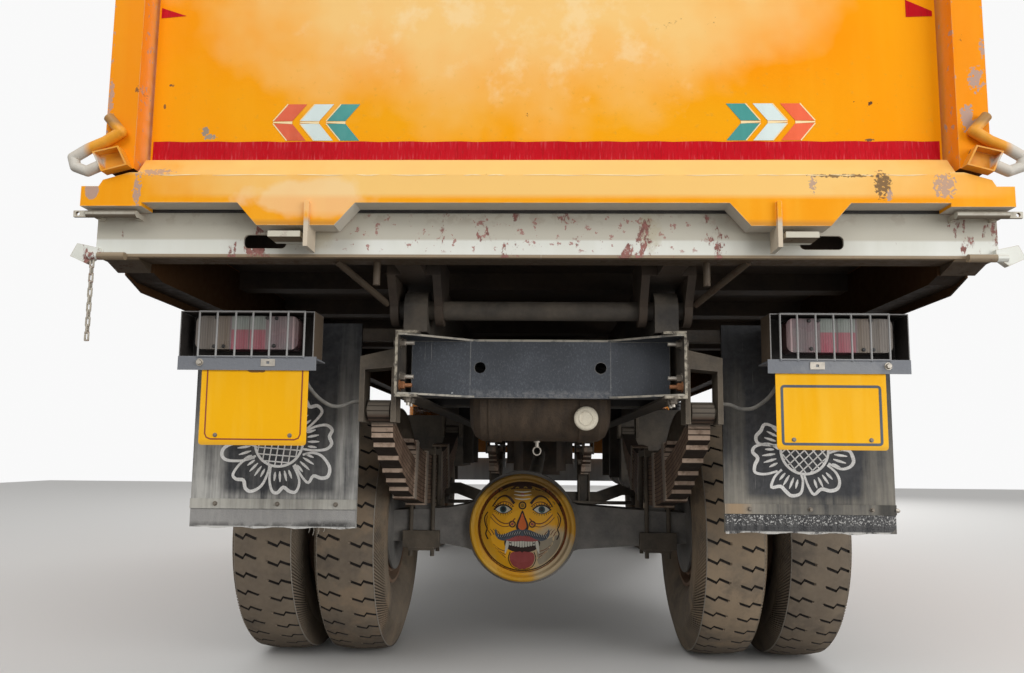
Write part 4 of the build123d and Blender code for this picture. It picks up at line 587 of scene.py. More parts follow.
class Form:
    """Collects vertices and faces in the row frame, then becomes one piece."""

    def __init__(self):
        self.verts, self.faces = [], []

    def add(self, verts, faces):
        base = len(self.verts)
        self.verts += [tuple(v) for v in verts]
        self.faces += [tuple(base + i for i in face) for face in faces]
        return self

    def add_used(self, verts, faces):
        """Adds the faces with only the vertices that they use."""
        used = sorted({i for face in faces for i in face})
        place = {i: k for k, i in enumerate(used)}
        return self.add([verts[i] for i in used], [tuple(place[i] for i in face) for face in faces])

    def box(self, x, y, z):
        corners = [(a, b, c) for a in x for b in y for c in z]
        return self.add(corners, [
            (0, 1, 3, 2), (4, 6, 7, 5), (0, 4, 5, 1), (2, 3, 7, 6), (0, 2, 6, 4), (1, 5, 7, 3)])

    def slab(self, points, low, high, axis="y"):
        """Outline in the plane across the x or y axis, drawn from low to high along it."""
        order = (lambda a, b, c: (c, a, b)) if axis == "x" else (lambda a, b, c: (a, c, b))
        n = len(points)
        verts = [order(a, b, level) for level in (low, high) for a, b in points]
        faces = [tuple(range(n)), tuple(range(2 * n - 1, n - 1, -1))]
        faces += [(i, n + i, n + (i + 1) % n, (i + 1) % n) for i in range(n)]
        return self.add(verts, faces)

    def tube(self, path, radius, sides=10, closed=False):
        """Round bar along points, with flat ends unless closed."""
        points = [Vector(p) for p in path]
        n = len(points)
        side = None
        verts, faces = [], []
        for i, p in enumerate(points):
            after = points[(i + 1) % n] if closed or i < n - 1 else p
            before = points[i - 1] if closed or i > 0 else p
            along = (after - before).normalized()
            if side is None:
                side = along.orthogonal().normalized()
            side = (side - along * side.dot(along)).normalized()
            reach = radius[i] if isinstance(radius, list) else radius
            verts += around(p, side, along.cross(side), reach, sides)
        for i in range(n if closed else n - 1):
            j = (i + 1) % n
            faces += [(i * sides + k, i * sides + (k + 1) % sides, j * sides + (k + 1) % sides, j * sides + k)
                      for k in range(sides)]
        if not closed:
            faces += [tuple(range(sides - 1, -1, -1)), tuple((n - 1) * sides + k for k in range(sides))]
        return self.add(verts, faces)

    def turned(self, profile, centre, axis, sides=24):
        """Profile of (along, radius) turned about an axis through the centre."""
        along = Vector(axis).normalized()
        side = along.orthogonal().normalized()
        other = along.cross(side)
        verts, rings, faces = [], [], []
        for distance, radius in profile:
            place = Vector(centre) + along * distance
            if radius == 0:
                rings.append([len(verts)] * sides)
                verts.append(place)
            else:
                rings.append(list(range(len(verts), len(verts) + sides)))
                verts += around(place, side, other, radius, sides)
        for low, high in zip(rings, rings[1:]):
            for k in range(sides):
                j = (k + 1) % sides
                face = tuple(dict.fromkeys((low[k], low[j], high[j], high[k])))
                if len(face) > 2:
                    faces.append(face)
        return self.add(verts, faces)

    def peg(self, place, axis, radius, height, sides=12):
        return self.turned([(0, 0), (0, radius), (height, radius), (height, 0)], place, axis, sides)

    def bolt(self, place, axis, radius, height=None):
        """Hexagon head on a washer, standing on its seat."""
        height = height or radius * 0.8
        self.peg(place, axis, radius * 1.35, height * 0.25, 14)
        top = Vector(place) + Vector(axis).normalized() * height * 0.25
        head = [(0, 0), (0, radius), (height * 0.8, radius), (height, radius * 0.82), (height, 0)]
        return self.turned(head, top, axis, 6)

    def mirrored(self):
        """Adds the same on the other side of the truck."""
        base = len(self.verts)
        self.verts += [(-x, y, z) for x, y, z in self.verts]
        self.faces += [tuple(base + i for i in reversed(face)) for face in self.faces]
        return self

    def thing(self, name, material):
        mesh = bpy.data.meshes.new(name)
        mesh.from_pydata(self.verts, [], self.faces)
        mesh.materials.append(material)
        obj = bpy.data.objects.new(name, mesh)
        bpy.context.scene.collection.objects.link(obj)
        return obj

    def piece(self, name, look, body="chassis", slot="chassis", smooth=False, bevel=0.0, replaces=()):
        obj = self.thing(name, LOOKS[look])
        obj.data.validate()
        for polygon in obj.data.polygons:
            polygon.use_smooth = smooth
        if bevel:
            rounding = obj.modifiers.new("rounding", "BEVEL")
            rounding.width = bevel
            rounding.segments = 2
            rounding.limit_method = "ANGLE"
        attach(obj, body)
        if replaces:
            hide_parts(*replaces)
        return obj


# Places on the solids
def trees(names):
    meshes = [nodes[name].data for name in names]
    return [BVHTree.FromPolygons([v.co for v in m.vertices], [p.vertices for p in m.polygons])
            for m in meshes]


def facing(*names):
    """Gives the y of the surface seen from the rear at (x, z)."""
    solids = trees(names)

    def hit(x, z):
        found = [t.ray_cast(Vector((x, -4, z)), Vector((0, 1, 0)))[0] for t in solids]
        return min(p.y for p in found if p is not None)
    return hit


def seat(names, start, way):
    """Where a ray from start first meets the named pieces."""
    found = [t.ray_cast(Vector(start), Vector(way)) for t in trees(names)]
    return min((f for f in found if f[0] is not None), key=lambda f: f[3])[0]


def smooth(points, steps=6, closed=False):
    """Catmull-Rom curve through points of any dimension."""
    n = len(points)
    out = []
    for i in range(n if closed else n - 1):
        p = [points[(i + k) % n] if closed else points[min(max(i + k, 0), n - 1)] for k in (-1, 0, 1, 2)]
        for s in range(steps):
            t = s / steps
            out.append(tuple(
                0.5 * (2 * b + (c - a) * t + (2 * a - 5 * b + 4 * c - d) * t * t
                       + (3 * b - a - 3 * c + d) * t ** 3)
                for a, b, c, d in zip(*p)))
    return out if closed else out + [tuple(points[-1])]


class Painter(Form):
    """Paint lying on a surface, in shapes of (x, z)."""

    def __init__(self, hit, lift=0.0007):
        super().__init__()
        self.hit, self.lift = hit, lift

    def fill(self, outline, cut=0.03):
        """Area cut into triangles no longer than cut, so that it follows the surface."""
        mesh = bmesh.new()
        mesh.faces.new([mesh.verts.new((x, 0, z)) for x, z in outline])
        bmesh.ops.triangulate(mesh, faces=mesh.faces[:])
        for _ in range(5):
            long = [e for e in mesh.edges if e.calc_length() > cut]
            if not long:
                break
            bmesh.ops.subdivide_edges(mesh, edges=long, cuts=1)
            bmesh.ops.triangulate(mesh, faces=mesh.faces[:])
        mesh.verts.index_update()
        verts = [(v.co.x, self.hit(v.co.x, v.co.z) - self.lift, v.co.z) for v in mesh.verts]
        self.add(verts, [tuple(v.index for v in f.verts) for f in mesh.faces])
        mesh.free()

    def stroke(self, path, width, closed=False):
        """Brush line; width is one number or one for each point."""
        n = len(path)
        widths = width if isinstance(width, list) else [width] * n
        verts = []
        for i, (x, z) in enumerate(path):
            ax, az = path[(i + 1) % n] if closed or i < n - 1 else path[i]
            bx, bz = path[i - 1] if closed or i > 0 else path[i]
            length = math.hypot(ax - bx, az - bz) or 1.0
            nx, nz = -(az - bz) / length, (ax - bx) / length
            for side in (-0.5, 0.5):
                px, pz = x + nx * widths[i] * side, z + nz * widths[i] * side
                verts.append((px, self.hit(px, pz) - self.lift, pz))
        count = n if closed else n - 1
        faces = [(2 * i, 2 * i + 1, (2 * i + 3) % (2 * n), (2 * i + 2) % (2 * n)) for i in range(count)]
        return self.add(verts, faces)

    def disc(self, x, z, radius, sides=16):
        self.fill([(x + radius * math.cos(a), z + radius * math.sin(a)) for a in turns(sides)])

    def ring(self, x, z, radius, width, sides=28):
        self.stroke([(x + radius * math.cos(a), z + radius * math.sin(a)) for a in turns(sides)], width, True)


def gate_marks():
    """Red stripe, three-colour chevrons and corner pennants, as on any such tailgate."""
    hit = facing("tailgate_panel", "tailgate_rail")
    low, high, reach, count = 1.659, 1.713, 1.106, 48
    red = Painter(hit)
    top = [(-reach + 2 * reach * k / count, high + 0.0012 * math.sin(k * 2.1)) for k in range(count + 1)]
    bottom = [(x, low + 0.0010 * math.sin(x * 31)) for x, _ in reversed(top)]
    for k in range(count):
        red.fill([top[k], top[k + 1], bottom[count - 1 - k], bottom[count - k]], 1.0)
    red.fill([(-reach, 2.118), (-1.032, 2.093), (-reach, 2.086)], 1.0)
    red.fill([(1.030, 2.132), (1.104, 2.0975), (1.104, 2.082), (1.030, 2.080)], 1.0)
    red.piece("gate_red_marks", "stripe_red", "tailgate", "bed_paint")
    fold = [(-1.09 + 0.06 * k, 1.6545 + 0.0008 * math.sin(k * 1.3)) for k in range(37)]
    Painter(hit).stroke(fold, 0.0045).piece("fold_wear", "paint_cream", "tailgate", "rail_paint")
    # Worn strokes of uneven length along the rail's upper edge
    wear = Painter(hit)
    x = -1.05
    while x < 1.04:
        long = random.uniform(0.03, 0.22)
        wear.stroke([(x + long * k / 6, 1.5895 + 0.0010 * math.sin(x * 9 + k)) for k in range(7)],
                    [0.0008, 0.0026, 0.0034, 0.0022, 0.0036, 0.0024, 0.0008])
        x += long + random.uniform(0.0, 0.06)
    wear.piece("edge_wear", "paint_cream", "tailgate", "rail_paint")
    # Dark strip filling the slit between the rail and the sill: painted shade standing in for the shadow
    # there
    gap_shade = Form().box((-1.108, 1.108), (-3.0592, -3.0562), (1.5035, 1.5125))
    gap_shade.piece("gate_gap_shade", "black_trim", "tailgate", "rail_paint")
    middle, near, far, width, shear = 1.770, 0.004, 0.054, 0.055, 0.041
    cream = Painter(hit, 0.0012)
    for look, tip in (("paint_flame", 0.765), ("paint_white", 0.688), ("paint_green", 0.613)):
        form = Painter(hit, 0.0009)
        for side in (-1, 1):
            cream.stroke([(side * tip, middle), (side * (tip - width), middle - 0.001)], [0.0035, 0.0080])
            for sign in (-1, 1):
                edge = [(tip, middle + sign * near), (tip - shear, middle + sign * far)]
                outer = [(side * x, z) for x, z in edge]
                form.fill(outer + [(side * (x - width), z) for x, z in reversed(edge)], 1.0)
                cream.stroke(outer, 0.0032)
        form.piece("chevron_" + look, look, "tailgate", "bed_paint")
    cream.piece("chevron_outlines", "paint_cream", "tailgate", "bed_paint")


# Colour of each pot of enamel, and how far it lies above the cover
POTS = {
    "bare": ((0.40, 0.34, 0.24), 0.0004), "dark": ((0.034, 0.016, 0.012), 0.0010),
    "white": ((0.74, 0.71, 0.60), 0.0013), "rust": ((0.22, 0.060, 0.016), 0.0010),
    "slate": ((0.090, 0.110, 0.135), 0.0012), "red": ((0.42, 0.085, 0.080), 0.0015),
    "flame": ((0.82, 0.17, 0.030), 0.0015), "iris": ((0.030, 0.085, 0.09), 0.0017),
    "pupil": ((0.008, 0.008, 0.010), 0.0021), "gold": ((0.34, 0.21, 0.03), 0.0014),
    "lash": ((0.020, 0.012, 0.010), 0.0019),
}


def ward_face():
    """Folk mask against the evil eye, in enamel on the axle's cover, laid out in millimetres."""
    hit = facing("diff_cover")
    cx, cz = COVER_X, 0.528
    for name, (colour, _) in POTS.items():
        paint("mask_" + name, colour)
    pots = {name: Painter(hit, lift) for name, (_, lift) in POTS.items()}

    def at(points, side=1):
        return [(cx + side * u / 1000, cz + v / 1000) for u, v in points]

    def area(pot, points, side=1, steps=4, cut=0.016):
        pots[pot].fill(smooth(at(points, side), steps, True), cut)

    def both(pot, points, start=None, end=None):
        """The same on both sides: a line from one width to another, or an area where none is given."""
        for side in (-1, 1):
            if start is None:
                area(pot, points, side)
                continue
            path = smooth(at(points, side))
            pots[pot].stroke(path, [(start + (end - start) * k / len(path)) / 1000 for k in range(len(path))])

    def taper(pot, points, width):
        """Stroke thick in its middle and pointed at both ends."""
        path = smooth(at(points))
        swell = [math.sin(math.pi * k / (len(path) - 1)) for k in range(len(path))]
        pots[pot].stroke(path, [0.0012 + width / 1000 * s for s in swell])

    # Headband, its marks, and the rim line
    band, scallop = 193, 168
    arc = [(band * math.cos(math.radians(d)), band * math.sin(math.radians(d))) for d in range(28, 153, 5)]
    brow = [(-157, 88), (-140, 120), (-117, 139), (-56, 158), (0, 163), (56, 158), (113, 141), (140, 120),
        (157, 88)]
    pots["dark"].fill(at(arc + smooth(brow, 3)), 0.02)
    pots["rust"].ring(cx, cz, 0.1870, 0.010, 72)
    pots["dark"].ring(cx, cz, 0.1815, 0.005, 60)
    for d in range(38, 146, 12):
        marks = [(r, math.radians(d) + turn)
                 for r, turn in ((scallop, -0.045), (scallop + 3, 0), (scallop, 0.045))]
        pots["gold"].stroke(at([(r * math.cos(a), r * math.sin(a)) for r, a in marks]), 0.0045)
    # Forehead strokes and dot
    for v, reach in ((151, 36), (137, 38), (121, 34)):
        taper("white", [(-reach, v + 2), (0, v - 2), (reach, v + 2)], 4.5)
    pots["red"].disc(cx, cz + 0.137, 0.0075)
    pots["dark"].ring(cx, cz + 0.094, 0.014, 0.006)
    pots["gold"].disc(cx, cz + 0.094, 0.0085, 14)
    # Nose
    area("dark", [(0, 74), (12, 48), (24, 20), (27, 2), (18, -12), (0, -17), (-18, -12), (-27, 2), (-24, 20),
        (-12, 48)])
    area("flame", [(0, 62), (8, 40), (16, 18), (17, 4), (10, -5), (0, -8), (-10, -5), (-17, 4), (-16, 18),
        (-8, 40)], cut=0.012)
    taper("gold", [(-4, 46), (-8, 24), (-9, 8)], 3.5)
    # Brows, eyes and the lines round them
    both("dark", [(35, 101), (52, 122), (74, 133), (102, 122), (129, 87)], 12, 4)
    both("rust", [(36, 88), (60, 106), (90, 106), (118, 84)], 3, 5)
    both("rust", [(30, 40), (48, 24), (72, 18), (100, 28), (128, 56)], 5, 4)
    both("rust", [(34, 24), (56, 8), (84, 6), (112, 20), (136, 44)], 3, 3)
    both("white", [(116, 76), (100, 87), (82, 91), (64, 87), (48, 76), (64, 65), (82, 61), (100, 65)])
    both("lash", [(122, 74), (102, 90), (82, 95), (62, 90), (43, 76)], 6, 6)
    both("lash", [(118, 76), (100, 64), (82, 60), (64, 64), (46, 76)], 3, 3)
    for side in (-1, 1):
        eye, cheek = cx + side * 0.082, cx + side * 0.042
        pots["iris"].disc(eye, cz + 0.077, 0.0145, 20)
        pots["pupil"].disc(eye, cz + 0.078, 0.0085, 14)
        pots["white"].disc(eye - 0.004, cz + 0.083, 0.0025, 8)
        for k in range(9):
            a = math.radians(30 + 15 * k)
            u, v = 82 + 41 * math.cos(a), 76 + 20 * math.sin(a)
            pots["lash"].stroke(at([(u, v), (u + 9 * math.cos(a), v + 11 * math.sin(a))], side),
                [0.0032, 0.0012])
            u, v = 82 + 38 * math.cos(a), 76 - 17 * math.sin(a)
            pots["lash"].stroke(at([(u, v), (u + 6 * math.cos(a), v - 9 * math.sin(a))], side),
                [0.0026, 0.001])
        pots["dark"].ring(cheek, cz + 0.016, 0.012, 0.0055, 20)
        pots["red"].disc(cheek, cz + 0.016, 0.006, 12)
        for u, v in ((92, -34), (106, -30), (120, -30), (132, -34)):
            path = smooth(at([(u, v), (u + 8, v + 14), (u + 18, v + 24)], side))
            pots["rust"].stroke(path, [0.0035] * 8 + [0.002] * 5)
        for row, reach in ((-98, 96), (-112, 88), (-126, 78)):
            path = smooth(at([(70, row), (reach, row + 8), (reach + 26, row + 28)], side))
            pots["rust"].stroke(path, [0.0030] * 8 + [0.0015] * 5)
    # Moustache with its hairs, lips, mouth, teeth, fangs and tongue
    both("slate", [(0, -7), (30, -8), (60, -20), (84, -30), (104, -24), (112, -4), (116, -26), (100, -48),
        (70, -54), (34, -44), (0, -34)])
    for k in range(10):
        both("lash", [(4 + 10 * k, -12 - 1.6 * k), (10 + 10 * k, -26 - 1.8 * k),
            (18 + 9.5 * k, -38 - 1.0 * k)], 2.6, 1)
        both("white", [(8 + 10 * k, -13 - 1.7 * k), (14 + 10 * k, -26 - 1.8 * k)], 1.4, 0.8)
    both("red", [(0, -34), (26, -33), (54, -46), (70, -50), (46, -56), (0, -53)])
    area("dark", [(-70, -50), (-34, -54), (0, -53), (34, -54), (70, -50), (74, -72), (50, -94), (0, -104),
        (-50, -94), (-74, -72)])
    for side in (-1, 1):
        for k in range(5):
            u, tall = 5.5 + 11 * k, 27 - 2 * k
            tooth = [(u - 5, -55), (u + 4.6, -55), (u + 4.2, -52 - tall), (u, -54 - tall),
                (u - 4.4, -52 - tall)]
            pots["white"].fill(at(tooth, side), 0.05)
    both("white", [(56, -56), (66, -54), (71, -74), (73, -108), (63, -92), (57, -74)])
    both("red", [(0, -104), (24, -100), (46, -104), (53, -128), (42, -156), (22, -169), (0, -170)])
    both("dark", [(50, -100), (58, -128), (46, -160), (22, -174), (0, -175)], 4, 3)
    taper("dark", [(0, -110), (1, -132), (0, -156)], 2.6)
    # Ears and the bare patch
    both("dark", [(148, 64), (162, 40), (158, 12), (150, -6), (156, -28), (146, -50)], 4, 6)
    both("rust", [(150, 48), (154, 24), (148, 4)], 3, 2)
    area("bare", [(70, -60), (110, -44), (150, -30), (163, -52), (148, -92), (112, -132), (74, -156),
        (62, -116)], steps=3, cut=0.02)
    for name, form in pots.items():
        form.piece("mask_" + name, "mask_" + name, "chassis", "cover_paint")


# Petal outlines in millimetres from the flower's centre, one side after the other
PETALS = {
    -1: (-0.865, 0.870, 0.080, (
        [(-79, -51), (-123, -62), (-172, -60), (-189, -43), (-183, -21), (-160, -8), (-120, -2), (-82, -12)],
        [(-75, -46), (-118, -64), (-148, -104), (-138, -122), (-113, -126), (-105, -152), (-85, -162),
            (-52, -143), (-32, -99), (-29, -77)],
        [(-24, -81), (-26, -125), (-16, -160), (2, -166), (21, -148), (42, -161), (64, -161), (73, -124),
            (51, -76)],
        [(56, -72), (80, -111), (103, -132), (119, -110), (146, -117), (168, -110), (171, -79), (144, -44),
            (112, -34), (81, -41)],
        [(82, -22), (118, -26), (158, -22), (176, -4), (168, 20), (176, 42), (156, 58), (118, 52), (84, 34)],
        [(82, 38), (112, 64), (140, 100), (124, 122), (98, 118), (84, 140), (58, 132), (38, 98), (36, 78)],
        [(28, 84), (34, 124), (22, 158), (0, 148), (-20, 160), (-44, 150), (-46, 112), (-34, 80)],
        [(-42, 78), (-70, 112), (-102, 126), (-112, 100), (-138, 92), (-138, 62), (-110, 38), (-84, 24)],
    )),
    1: (0.863, 0.858, 0.077, (
        [(-83, 3), (-116, 20), (-158, 12), (-168, -7), (-152, -26), (-162, -50), (-161, -73), (-128, -78),
            (-89, -68)],
        [(-75, -63), (-99, -87), (-110, -120), (-81, -117), (-63, -134), (-45, -147), (-16, -138), (-8, -100),
            (-14, -77)],
        [(-3, -81), (8, -114), (26, -142), (50, -125), (78, -130), (102, -123), (110, -99), (99, -71),
            (72, -47)],
        [(76, -42), (114, -59), (142, -54), (157, -37), (153, -14), (142, 0), (112, 2), (80, -8)],
        [(80, 2), (116, 12), (150, 30), (152, 54), (130, 64), (128, 88), (100, 92), (74, 66), (66, 44)],
        [(58, 54), (80, 86), (88, 122), (64, 132), (44, 120), (22, 136), (4, 116), (6, 92), (14, 78)],
        [(4, 80), (-2, 112), (-20, 140), (-44, 128), (-66, 134), (-84, 110), (-72, 76), (-46, 62)],
        [(-56, 54), (-92, 74), (-126, 84), (-140, 62), (-156, 44), (-150, 22), (-116, 16), (-84, 16)],
    )),
}


def flap_flowers():
    """Chalky brush outline of an eight-petalled flower on each flap."""
    form = Painter(facing("mud_flaps"), 0.0008)
    mesh_step = 0.0215
    for side, (cx, cz, radius, petals) in PETALS.items():
        form.ring(cx, cz, radius, 0.0085, 44)
        turn = math.radians(-4 if side < 0 else 42)
        for k in range(-3, 4):
            across = mesh_step * k
            reach = math.sqrt(max(0.0, (radius - 0.004) ** 2 - across ** 2))
            for quarter in (turn, turn + math.radians(86)):
                c, s = math.cos(quarter), math.sin(quarter)
                form.stroke([(cx + u * c - across * s, cz + u * s + across * c) for u in (-reach, 0, reach)],
                    0.0042)
        for number, petal in enumerate(petals):
            path = smooth([(cx + u / 1000, cz + v / 1000) for u, v in petal], 4)
            swell = [max(0.0, math.sin(math.pi * k / (len(path) - 1))) ** 2 for k in range(len(path))]
            form.stroke(path, [0.0072 + 0.0046 * s for s in swell])
            middle = math.atan2(*(sum(p[k] for p in petal) / len(petal) for k in (1, 0)))
            # Four drops of chalk inside each petal
            inner, outer = (0.096, 0.139 - 0.004 * (number % 3)), (0.098, 0.128)
            for offset, (start, end) in zip((-13.5, -4.8, 4.6, 13.0), (outer, inner, inner, outer)):
                a = middle + math.radians(offset)
                line = [(cx + r * math.cos(a), cz + r * math.sin(a))
                        for r in (start, start + (end - start) * 0.35, start + (end - start) * 0.7, end)]
                form.stroke(line, [0.0030, 0.0086, 0.0072, 0.0026])
    form.piece("flap_flowers", "chalk_white", "chassis", "flap_rubber")


# Tyres with their tread
TREAD_PITCHES = 44
RIBS = TREAD_PITCHES * 5
TYRE_R = 0.525
TREAD_HALF = 0.106
GROOVE_DEEP = 0.0075
CUT, LIP = 0.0042, 0.0014
BAR_HALF = 0.0215
# Across the tread from its edge to the middle: distance, and the groove's step round the tyre
ZIGZAG = [(0.106, 0.001), (0.099, -0.001), (0.085, -0.007), (0.071, -0.013), (0.061, 0.003), (0.049, -0.002),
          (0.035, -0.008), (0.0225, -0.013), (0.016, -0.013), (0.0, 0.0)]
# Down the ribbed shoulder: distance from the middle, radius, slant, and share of the rib's height
SHOULDER = [(0.1080, 0.512, 0.000, 0.0), (0.1100, 0.507, -0.004, 1.0), (0.1190, 0.484, -0.026, 1.0),
            (0.1300, 0.452, -0.058, 1.0), (0.1345, 0.432, -0.076, 1.0), (0.1370, 0.424, -0.082, 0.0)]
SIDEWALL = [(0.1370, 0.424), (0.1388, 0.412), (0.139, 0.399), (0.137, 0.365), (0.1345, 0.345), (0.132, 0.342),
            (0.127, 0.318), (0.118, 0.292), (0.104, 0.272), (0.092, 0.262), (0.092, 0.254)]


def crown(u):
    """Radius of the worn tread across its width."""
    return TYRE_R - 0.010 * (abs(u) / TREAD_HALF) ** 3


def tyre_into(form, grooves, ridge, centre_x, y, shift):
    """One tyre; shift moves its worn tread band sideways on the casing."""
    def at(x, r, a):
        return centre_x + x, y - r * math.sin(a), AXLE_Z - r * math.cos(a)

    # Tread with a zigzag groove from each edge to the middle bar
    pitch = 2 * math.pi / TREAD_PITCHES
    columns = [(-u, -v) for u, v in ZIGZAG[:-1]] + [(0.0, 0.0)] + ZIGZAG[-2::-1]
    round_groove = ((-CUT - LIP, 0), (-CUT, 1), (CUT, 1), (CUT + LIP, 0), (0.024, 0), (0.050, 0))
    rows = [(k * pitch + offset / TYRE_R, deep)
            for k in range(TREAD_PITCHES) for offset, deep in round_groove]
    verts = []
    for angle, deep in rows:
        for u, v in columns:
            blend = 0.5 + 0.5 * max(-1, min(1, u / 0.016))
            r = crown(u) - (GROOVE_DEEP if deep and BAR_HALF < abs(u) else 0.0)
            verts.append(at(shift + u, r, angle - v / TYRE_R + blend * pitch / 2))
    n, m = len(columns), len(rows)
    faces, dark = [], []
    for i in range(m):
        j = (i + 1) % m
        for k in range(n - 1):
            # Groove floors go to their own near-black piece: painted shade
            floor = (rows[i][1] or rows[j][1]) and min(abs(columns[k][0]), abs(columns[k + 1][0])) > BAR_HALF
            (dark if floor else faces).append((i * n + k, i * n + k + 1, j * n + k + 1, j * n + k))
    form.add(verts, faces)
    grooves.add_used(verts, dark)
    # Slanted ribs on the shoulder, with the worn ridge above them
    levels = [(TREAD_HALF, crown(TREAD_HALF), 0.0, 0.0)] + SHOULDER
    across = len(levels)
    total = RIBS * 4
    for side in (-1, 1):
        verts, faces, dark = [], [], []
        for rib in range(RIBS):
            for part, out in ((0.0, 0.0016), (0.10, -0.0040), (0.42, -0.0040), (0.52, 0.0016)):
                for number, (u, r, slant, swell) in enumerate(levels):
                    reach = side * (u + out * swell) + shift * (1 - number / (across - 1))
                    verts.append(at(reach, r, (rib + part) * 2 * math.pi / RIBS + slant / r))
        for k in range(total):
            j = (k + 1) % total
            strip = [(k * across + c, k * across + c + 1, j * across + c + 1, j * across + c)
                     for c in range(across - 1)]
            # The low faces between the shoulder ribs join the same painted shade
            low = strip[1:5] if k % 4 == 1 else []
            dark += low
            faces += [face for face in strip if face not in low]
        form.add(verts, faces)
        grooves.add_used(verts, dark)
        edge = [(shift + side * u, r) for u, r in ((0.1055, 0.5130), (0.1070, 0.5160), (0.1092, 0.5115))]
        ridge.turned(edge, (centre_x, y, AXLE_Z), (1, 0, 0), 132)
    bead = SIDEWALL[-1]
    for profile in ([(-bead[0], bead[1]), bead], [(-u, r) for u, r in reversed(SIDEWALL)], SIDEWALL):
        form.turned(profile, (centre_x, y, AXLE_Z), (1, 0, 0), 88)


def tyres():
    # Node, body, place along the truck, and for each tyre its centre and the tread's shift
    for node, body, y, pair in (
            ("rear_tyres_left", "rear_wheels_left", REAR_Y, ((-1.061, 0.012), (-0.741, 0.006))),
            ("rear_tyres_right", "rear_wheels_right", REAR_Y, ((0.741, -0.006), (1.061, -0.012))),
            ("front_tyre_left", "front_wheel_left", FRONT_Y, ((-0.975, 0.0),)),
            ("front_tyre_right", "front_wheel_right", FRONT_Y, ((0.975, 0.0),))):
        form, grooves, ridge = Form(), Form(), Form()
        for x, shift in pair:
            tyre_into(form, grooves, ridge, x, y, shift)
        obj = form.piece("tread_" + node, "tyre_rubber", body, "tyre", smooth=True, replaces=(node,))
        obj.data.set_sharp_from_angle(angle=math.radians(32))
        grooves.piece("grooves_" + node, "groove_painted_shade", body, "tyre", replaces=(node,))
        ridge.piece("ridge_" + node, "tyre_edge", body, "tyre", smooth=True, replaces=(node,))


# Small fittings at the rear, made on the right and mirrored
def tail_fittings():
    inside, below, back = (-1, 0, 0), (0, 0, -1), (0, -1, 0)
    bolts, threads = Form(), Form()
    # Bolts through the rail ends: nut on its thread inside, head outside
    rail_in, rail_out = 0.4340, 0.4425
    for z in (1.178, 1.072):
        threads.peg((rail_in + 0.0005, -2.790, z), inside, 0.0065, 0.043)
        bolts.bolt((rail_in, -2.790, z), inside, 0.0125, 0.014)
    for z in (1.060, 1.110, 1.178):
        for y in (-2.80, -2.74):
            bolts.bolt((rail_out, y, z), (1, 0, 0), 0.0105)
    for y in (-2.805, -2.755):
        bolts.bolt((0.404, y, 1.0065), below, 0.0125, 0.012)
        threads.peg((0.404, y, 1.006), below, 0.006, 0.023)
    threads.mirrored().piece("bolt_threads", "pale_steel")
    bolts.mirrored().piece("frame_bolts", "bolt_steel")
    copper = Form().bolt((rail_in, -2.798, 1.045), inside, 0.0125, 0.014)
    copper.peg((rail_in + 0.0005, -2.798, 1.045), inside, 0.0065, 0.040)
    copper.mirrored().piece("copper_bolts", "rusty_bolt")
    # Reflector and drain cock on the tank
    place = (0.150, -2.598, 0.955)
    reflector = Form().turned([
        (0, 0), (0, 0.037), (0.040, 0.037), (0.041, 0.0395), (0.046, 0.0395), (0.050, 0.036),
        (0.0515, 0.030), (0.0520, 0)], place, back, 44)
    reflector.turned([
        (0.0512, 0.0245), (0.0535, 0.0235), (0.0535, 0.0205), (0.0512, 0.0195)], place, back, 36)
    reflector.piece("reflector", "cream_disc", "chassis", "fittings", smooth=True)
    x, y = -0.010, -2.51
    cock = Form().turned([(0, 0), (0, 0.0115), (0.010, 0.0115), (0.010, 0.0065), (0.026, 0.0065), (0.026, 0)],
                         (x, y, 0.888), below, 12)
    cock.tube([(x + 0.013 * math.cos(a), y, 0.849 + 0.014 * math.sin(a)) for a in turns(20)], 0.0026, 6, True)
    cock.piece("drain_cock", "pale_steel")
    # Lamp screws, and the bolt and slotted plate on each shelf
    screws = Form()
    head = [(0, 0), (0, 0.0058), (0.003, 0.0058), (0.0045, 0.0040), (0.0045, 0)]
    for x, z in (
            (0.817, 1.249), (0.822, 1.163), (0.979, 1.161), (1.008, 1.161), (1.003, 1.250), (0.845, 1.250)):
        screws.turned(head, (x, -2.8125, z), back, 12)
    screws.mirrored().piece("lens_screws", "black_trim", "chassis", "lens")
    face = -2.8438
    plate = (face - 0.0024, face)
    shelf = Form().bolt((1.036, face, 1.107), back, 0.0085, 0.008)
    shelf.box((0.805, 0.822), plate, (1.096, 1.118)).box((0.831, 0.848), plate, (1.096, 1.118))
    shelf.box((0.822, 0.831), plate, (1.111, 1.118)).box((0.822, 0.831), plate, (1.096, 1.103))
    shelf.mirrored().piece("shelf_fittings", "pale_steel", "chassis", "fittings")


